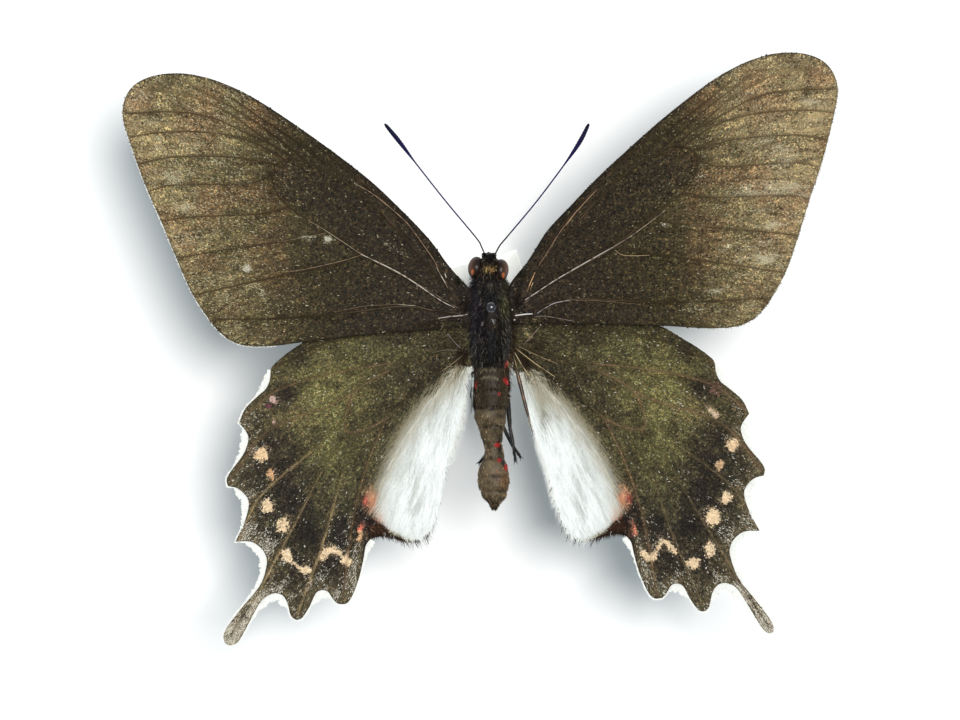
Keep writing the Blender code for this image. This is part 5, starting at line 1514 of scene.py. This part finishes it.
def fur(body, material, seed):
    """Hairs over the body, combed back and ruffled, long on the thorax and short behind."""
    rng = np.random.default_rng(seed)
    parts = [zone_fur(body, rng, *zone) for zone in FUR_ZONES]
    parts += [standing_tuft(body, rng, *tuft) for tuft in BODY_TUFTS]
    roots, ways, ups, lengths, widths, colours, places = (np.concatenate(p) for p in zip(*parts))
    bend = unit(np.array((0.0, -1.0, -0.2))) * 0.28
    bends = shaded(len(roots), bend)
    front = roots[:, 1] > FUR_PARTED_AT
    for name, slot, part in (("front", "body_black", front), ("back", "abdomen_brown", ~front)):
        # painted shade and light in the coat: hairs darker at the root and lighter at the tip
        hairs = tufts("body_fur_" + name, hair_shape(1), (roots - ups * 0.03)[part], ways[part], ups[part],
                      lengths[part], widths[part], colours[part] * 0.8, colours[part] * 1.15,
                      framed(places)[part], bends[part])
        dress(hairs, material, slot)


def tube(path, radii, sides, colours):
    """Vertices, triangles and colours of a closed tube."""
    way = unit(np.gradient(path, axis=0))
    first = np.cross(way, (0.0, 0.0, 1.0))
    weak = np.linalg.norm(first, axis=1) < 0.2
    first[weak] = np.cross(way[weak], (1.0, 0.0, 0.0))
    first = unit(first)
    second = np.cross(way, first)
    angle = 2 * math.pi * np.arange(sides) / sides
    ring = (first[:, None] * np.cos(angle)[None, :, None] + second[:, None] * np.sin(angle)[None, :, None])
    verts = (path[:, None] + ring * radii[:, None, None]).reshape(-1, 3)
    verts = np.vstack([verts, path[:1], path[-1:]])
    shades = np.vstack([np.repeat(colours, sides, 0), colours[:1], colours[-1:]])
    return verts, ring_faces(len(path), sides)[:, ::-1], shades


def joined(parts):
    """Several closed meshes put in one."""
    verts, faces, colours, start = [], [], [], 0
    for v, f, c in parts:
        verts.append(v)
        faces.append(f + start)
        colours.append(c)
        start += len(v)
    return np.vstack(verts), np.vstack(faces), np.vstack(colours)


def lifted(points):
    """Points whose z counts from the wing plane, at their heights over the floor."""
    points = np.array(points, float)
    points[:, 2] += WING_Z
    return points


def shaded(count, colour):
    """One row of three values, repeated."""
    return np.tile(np.asarray(colour, float), (count, 1))


def build_antennae(materials):
    """Ringed shafts that swell into clubs."""
    for side, points in ANTENNA_PATHS.items():
        path = curve(lifted(points), 0.11)
        t = np.linspace(0, 1, len(path))
        swell = np.clip((t - 0.7) / 0.3, 0, 1)
        radii = 0.085 + 0.18 * np.sin(np.pi * np.clip(swell * 0.78, 0, 1)) ** 1.6 * (swell > 0)
        radii = radii * (1 - 0.12 * (np.arange(len(path)) % 3 == 0))
        radii[-3:] *= (0.92, 0.75, 0.4)
        radii[:4] *= (1.6, 1.5, 1.3, 1.1)
        colours = mixed(shaded(len(path), (30, 24, 88)), (24, 20, 46), swell)
        colours = mixed(colours, (20, 18, 22), 1 - step(t, 0.1, 0.25))
        shaft = mesh_piece(f"antenna_{side}_shaft", *tube(path, radii, 12, colours))
        dress(shaft, materials["velvet"], "body_black", f"antenna_{side}")


def build_mouth(materials):
    """The rolled tongue with its rings, and the two bristly palps."""
    y, z = COIL_CENTRE
    outer, inner = COIL_RADII
    t = np.linspace(0, 1, 150)
    angle = math.pi / 2 - 2 * math.pi * COIL_TURNS * t
    radius = outer + (inner - outer) * t
    path = np.column_stack([np.full(len(t), HEAD_CENTRE[0]), y + radius * np.cos(angle),
                            WING_Z + z + radius * np.sin(angle)])
    ridges = 1 - 0.1 * (np.arange(len(t)) % 2)
    coil = tube(path, (0.19 - 0.07 * t) * ridges, 10, shaded(len(t), (58, 40, 28)))
    dress(mesh_piece("tongue_coil", *coil), materials["horn"], "body_black", "tongue")
    for side, mirror, seed in (("left", -1, 71), ("right", 1, 72)):
        rng = np.random.default_rng(seed)
        path = curve(lifted([(mirror * x, py, pz) for x, py, pz in PALP_PATH]), 0.08)
        t = np.linspace(0, 1, len(path))
        radii = np.interp(t, (0, 0.3, 0.7, 1), (0.22, 0.26, 0.22, 0.08))
        core = mesh_piece(f"palp_{side}_core", *tube(path, radii, 14, shaded(len(path), (38, 34, 30))))
        dress(core, materials["horn"], "body_black", f"palp_{side}")
        pick = rng.integers(1, len(path) - 1, PALP_BRISTLES)
        spin = rng.uniform(0, 2 * math.pi, PALP_BRISTLES)
        ups = np.column_stack([np.cos(spin), 0.3 * np.sin(spin), np.sin(spin)])
        way = unit(ups * 0.6 + unit(np.gradient(path, axis=0))[pick])
        colours = shaded(PALP_BRISTLES, (44, 40, 36)) * rng.uniform(0.7, 1.4, PALP_BRISTLES)[:, None]
        roots = path[pick] + unit(ups) * radii[pick][:, None] * 0.7
        unwrap = framed(np.column_stack([spin / (2 * math.pi), t[pick]]))
        hairs = tufts(f"palp_{side}_bristles", hair_shape(1), roots, way, ups,
                      rng.uniform(0.25, 0.5, PALP_BRISTLES), np.full(PALP_BRISTLES, 0.05), colours,
                      colours, unwrap)
        dress(hairs, materials["fur"], "body_black")


def ball(centre, radii, rows, sides, yaw):
    """Vertices, triangles and outward ways of an ellipsoid."""
    v = np.linspace(-math.pi / 2, math.pi / 2, rows)[1:-1]
    u = 2 * math.pi * np.arange(sides) / sides
    ring = np.stack([np.cos(v)[:, None] * np.cos(u), np.cos(v)[:, None] * np.sin(u),
                     np.repeat(np.sin(v)[:, None], sides, 1)], 2).reshape(-1, 3)
    ways = np.vstack([ring, [(0, 0, -1.0)], [(0, 0, 1.0)]])
    turn = np.array(Matrix.Rotation(yaw, 3, "Z"))
    return (ways * radii) @ turn.T + centre, ring_faces(rows - 2, sides), ways


def build_eyes(materials):
    """Two oval eyes with a painted sheen on their upper outer sides, an orange gleam painted behind, and
    darker backs and inner sides.
    """
    for side, mirror in (("left", -1), ("right", 1)):
        turn = np.array(Matrix.Rotation(HEAD_YAW, 3, "Z"))
        centre = np.array(HEAD_CENTRE) + turn @ (np.array(EYE_OFFSET) * (mirror, 1, 1)) + (0, 0, WING_Z)
        verts, faces, ways = ball(centre, EYE_RADII, 40, 64, HEAD_YAW)
        colours = shaded(len(verts), (72, 50, 38))
        side_way = ways[:, 0] * mirror
        # painted sheen: the upper outer side of each eye drawn lighter
        lit = 0.8 * step(side_way, 0.3, 0.9) * step(ways[:, 2], -0.2, 0.6)
        colours = mixed(colours, (124, 82, 66), lit)
        colours = mixed(colours, (40, 34, 24), 0.7 * step(-ways[:, 1], 0.0, 0.7))
        # painted gleam: an orange patch on the upper outer back of the eye
        orange = glow(ways[:, :2] * (mirror, 1), (0.4, -0.42), (0.26, 0.34))
        colours = mixed(colours, (206, 112, 62), 0.9 * step(orange, 0.3, 0.9) * (ways[:, 2] > 0))
        colours = mixed(colours, (40, 28, 24), step(-side_way, -0.35, 0.1))
        dress(mesh_piece(f"eye_{side}_ball", verts, faces, colours), materials["eye"], "eye_brown",
              f"eye_{side}")


def build_legs(materials):
    """Bristly legs with spurs on the shins and a pair of claws on each foot."""
    claws = []
    for number, (name, joints) in enumerate(LEG_PATHS.items()):
        rng = np.random.default_rng(300 + number)
        joints = lifted(joints)
        path, radii = [joints[0]], [LEG_RADII[0]]
        for i, (a, b) in enumerate(zip(joints, joints[1:])):
            parts = 24 if i == 4 else 12
            for k in range(1, parts + 1):
                t = k / parts
                path.append(a + (b - a) * t)
                ring = 0.8 if i == 4 and k % 5 == 0 else 1.0
                belly = 1 + 0.18 * math.sin(math.pi * t)
                radii.append((LEG_RADII[i] + (LEG_RADII[i + 1] - LEG_RADII[i]) * t) * belly * ring)
        path, radii = np.array(path), np.array(radii)
        limb = mesh_piece(name + "_limb", *tube(path, radii, 12, shaded(len(path), (30, 28, 28))))
        dress(limb, materials["horn"], "body_black", name)
        count = LEG_BRISTLES
        pick = rng.integers(6, len(path) - 1, count)
        spin = rng.uniform(0, 2 * math.pi, count)
        way = unit(np.gradient(path, axis=0))[pick]
        first = unit(np.cross(way, (0.3, 0.2, 1.0)))
        ups = first * np.cos(spin)[:, None] + np.cross(way, first) * np.sin(spin)[:, None]
        shin = (pick > 26) & (rng.random(count) < 0.12)
        ways = unit(way + ups * np.where(shin, 0.9, 0.35)[:, None])
        colours = shaded(count, (34, 32, 32)) * rng.uniform(0.7, 1.3, count)[:, None]
        unwrap = framed(np.column_stack([spin / (2 * math.pi), pick / len(path)]))
        hairs = tufts(name + "_bristles", hair_shape(1), path[pick] + ups * radii[pick][:, None] * 0.85,
                      ways, ups, rng.uniform(0.2, 0.38, count), np.full(count, 0.035), colours, colours,
                      unwrap)
        dress(hairs, materials["fur"], "body_black")
        tip, ahead = path[-1], unit(path[-1] - path[-5])
        aside = unit(np.cross(ahead, (0, 0, 1.0)))
        for hand in (-1, 1):
            hook = curve([tip - ahead * 0.05, tip + ahead * 0.22 + aside * hand * 0.16,
                          tip + ahead * 0.4 + aside * hand * 0.2 + (0, 0, -0.14)], 0.05)
            radii = np.linspace(0.065, 0.018, len(hook))
            claws.append(tube(hook, radii, 8, shaded(len(hook), (26, 20, 18))))
    dress(mesh_piece("leg_claws", *joined(claws)), materials["horn"], "body_black")


def build_pin(materials):
    """The pin, turned from its outline: a round head, a long shaft and a point."""
    angle = np.linspace(math.pi / 2, -1.05, 18)
    shaft = np.linspace(PIN_TOP - 1.3, PIN_TIP_Z + 1.4, 20)
    z = np.concatenate([PIN_TOP - PIN_HEAD_RADIUS * 0.8 * (1 - np.sin(angle)), [PIN_TOP - 1.05], shaft,
                        [PIN_TIP_Z + 0.05]])
    radii = np.concatenate([PIN_HEAD_RADIUS * np.maximum(np.cos(angle), 0.01), [PIN_RADIUS * 1.05],
                            np.full(len(shaft), PIN_RADIUS), [0.03]])
    path = np.column_stack([np.full(len(z), PIN_XY[0]), np.full(len(z), PIN_XY[1]), z])
    pin = mesh_piece("pin_turned", *tube(path, radii, 40, shaded(len(z), (6, 9, 34))))
    dress(pin, materials["enamel"], "pin_enamel", "mount_pin")


def build_block(materials):
    """The foam block, cut by hand, so that its faces are a little uneven and pitted."""
    bm = bmesh.new()
    bmesh.ops.create_cube(bm, size=1)
    depth = BLOCK_FRONT + BLOCK_BACK
    bmesh.ops.scale(bm, vec=(2 * BLOCK_HALF_WIDTH, depth, BLOCK_HEIGHT), verts=bm.verts)
    bmesh.ops.bevel(bm, geom=list(bm.edges), offset=0.3, segments=3, profile=0.6, affect="EDGES")
    bmesh.ops.subdivide_edges(bm, edges=bm.edges, cuts=5, use_grid_fill=True)
    bmesh.ops.triangulate(bm, faces=bm.faces)
    bm.normal_update()
    rng = np.random.default_rng(88)
    dents = rng.random((64, 64))
    for vert in bm.verts:
        a, b = int(vert.co.x * 7 + vert.co.z * 3), int(vert.co.y * 7 - vert.co.z * 5)
        if vert.co.z >= -BLOCK_HEIGHT / 2 + 0.4:
            vert.co -= vert.normal * 0.1 * dents[a % 64, b % 64]
    place = Matrix.Translation((*PIN_XY, BLOCK_HEIGHT / 2)) @ Matrix.Rotation(BLOCK_YAW, 4, "Z")
    bmesh.ops.translate(bm, vec=(0, (BLOCK_FRONT - BLOCK_BACK) / 2, 0), verts=bm.verts)
    bmesh.ops.transform(bm, matrix=place, verts=bm.verts)
    bmesh.ops.scale(bm, vec=(MM, MM, MM), verts=bm.verts)
    mesh = bpy.data.meshes.new("foam_block")
    bm.to_mesh(mesh)
    bm.free()
    mesh.shade_smooth()
    mesh.set_sharp_from_angle(angle=math.radians(50))
    block = bpy.data.objects.new("foam_block", mesh)
    bpy.context.scene.collection.objects.link(block)
    dress(block, materials["foam"], "foam_white", "mount_block")


def foam_material():
    """White foam with small round cells, with a painted glow of its own light."""
    material = plain("foam", (252, 253, 246), (268, 268, 262), 0.75, 0.2, 0.9)
    tree = material.node_tree
    place = next(n for n in tree.nodes if n.type == "TEX_COORD")
    cells = add_node(tree, "ShaderNodeTexVoronoi", Scale=1 / (0.42 * MM))
    bump = add_node(tree, "ShaderNodeBump", Strength=0.35, Distance=0.12 * MM)
    tree.links.new(place.outputs["Object"], cells.inputs["Vector"])
    tree.links.new(cells.outputs["Distance"], bump.inputs["Height"])
    shader = tree.nodes["Principled BSDF"]
    tree.links.new(bump.outputs["Normal"], shader.inputs["Normal"])
    # painted glow: the foam emits a little light, though it is no lamp
    shader.inputs["Emission Color"].default_value = (1.0, 1.0, 0.97, 1)
    shader.inputs["Emission Strength"].default_value = FOAM_PAINTED_GLOW
    return material


def make_materials():
    """Every material of the butterfly and its mount, by what it covers."""
    return {
        "membrane": tinted("wing_membrane", 0.6, 0.15, 0.12, 0.12, bump=0.3),
        "scales": tinted("wing_scales", 0.6, 0.12, 0.1, 0.15),
        "wool": tinted("silky_wool", 0.6, 0.2, 0.04, 0.3),
        "fur": tinted("body_hair", 0.6, 0.15, 0.12, 0.2),
        "skin": tinted("body_cuticle", 0.5, 0.2, 0.2, 0.25, bump=0.4),
        "horn": tinted("dark_cuticle", 0.35, 0.35, 0.15, 0.15, bump=0.25),
        "velvet": tinted("antenna_cuticle", 0.6, 0.12, 0.15, 0.12, bump=0.25),
        "eye": tinted("eye_facets", 0.34, 0.25, 0.2, 0.2, bump=0.25),
        "enamel": tinted("pin_enamel_gloss", 0.27, 0.9, 0.05, 0.5),
        "foam": foam_material(),
    }


def build_stage():
    """The white ground that takes the shadow."""
    mesh = bpy.data.meshes.new("floor")
    bm = bmesh.new()
    bmesh.ops.create_grid(bm, x_segments=1, y_segments=1, size=1.5)
    bm.to_mesh(mesh)
    bm.free()
    floor = bpy.data.objects.new("floor", mesh)
    bpy.context.scene.collection.objects.link(floor)
    floor.data.materials.append(plain("white_ground", (275, 275, 275), (276, 276, 276), 0.9, 0.0, 50))


def build_light():
    """A wide sun from the upper right, and a dim bluish sky."""
    sun = bpy.data.lights.new("key", "SUN")
    sun.energy, sun.angle = SUN_STRENGTH, SUN_SIZE
    sun.color = SUN_COLOUR
    lamp = bpy.data.objects.new("key", sun)
    way = Vector((*SHADOW_SHIFT, -WING_Z))
    lamp.rotation_euler = way.to_track_quat("-Z", "Y").to_euler()
    bpy.context.scene.collection.objects.link(lamp)
    world = bpy.data.worlds.new("sky")
    world.use_nodes = True
    world.node_tree.nodes["Background"].inputs["Color"].default_value = (*SKY, 1)
    bpy.context.scene.world = world


def build_camera():
    """A camera straight above, looking down."""
    data = bpy.data.cameras.new("camera")
    data.sensor_width = 36
    data.lens = data.sensor_width * CAMERA_OVER_WINGS / VIEW_WIDTH
    data.clip_start, data.clip_end = 0.01, 10
    camera = bpy.data.objects.new("camera", data)
    camera.location = (CAMERA_XY[0] * MM, CAMERA_XY[1] * MM, (WING_Z + CAMERA_OVER_WINGS) * MM)
    bpy.context.scene.collection.objects.link(camera)
    bpy.context.scene.camera = camera
    bpy.context.scene.view_settings.view_transform = "Standard"


def main():
    materials = make_materials()
    build_wings(materials)
    body = Body()
    dress(body_skin(body), materials["skin"], "body_black", "head", "collar", "thorax", "abdomen")
    fur(body, materials["fur"], 61)
    build_antennae(materials)
    build_mouth(materials)
    build_eyes(materials)
    build_legs(materials)
    build_pin(materials)
    build_block(materials)
    build_stage()
    build_light()
    build_camera()


main()
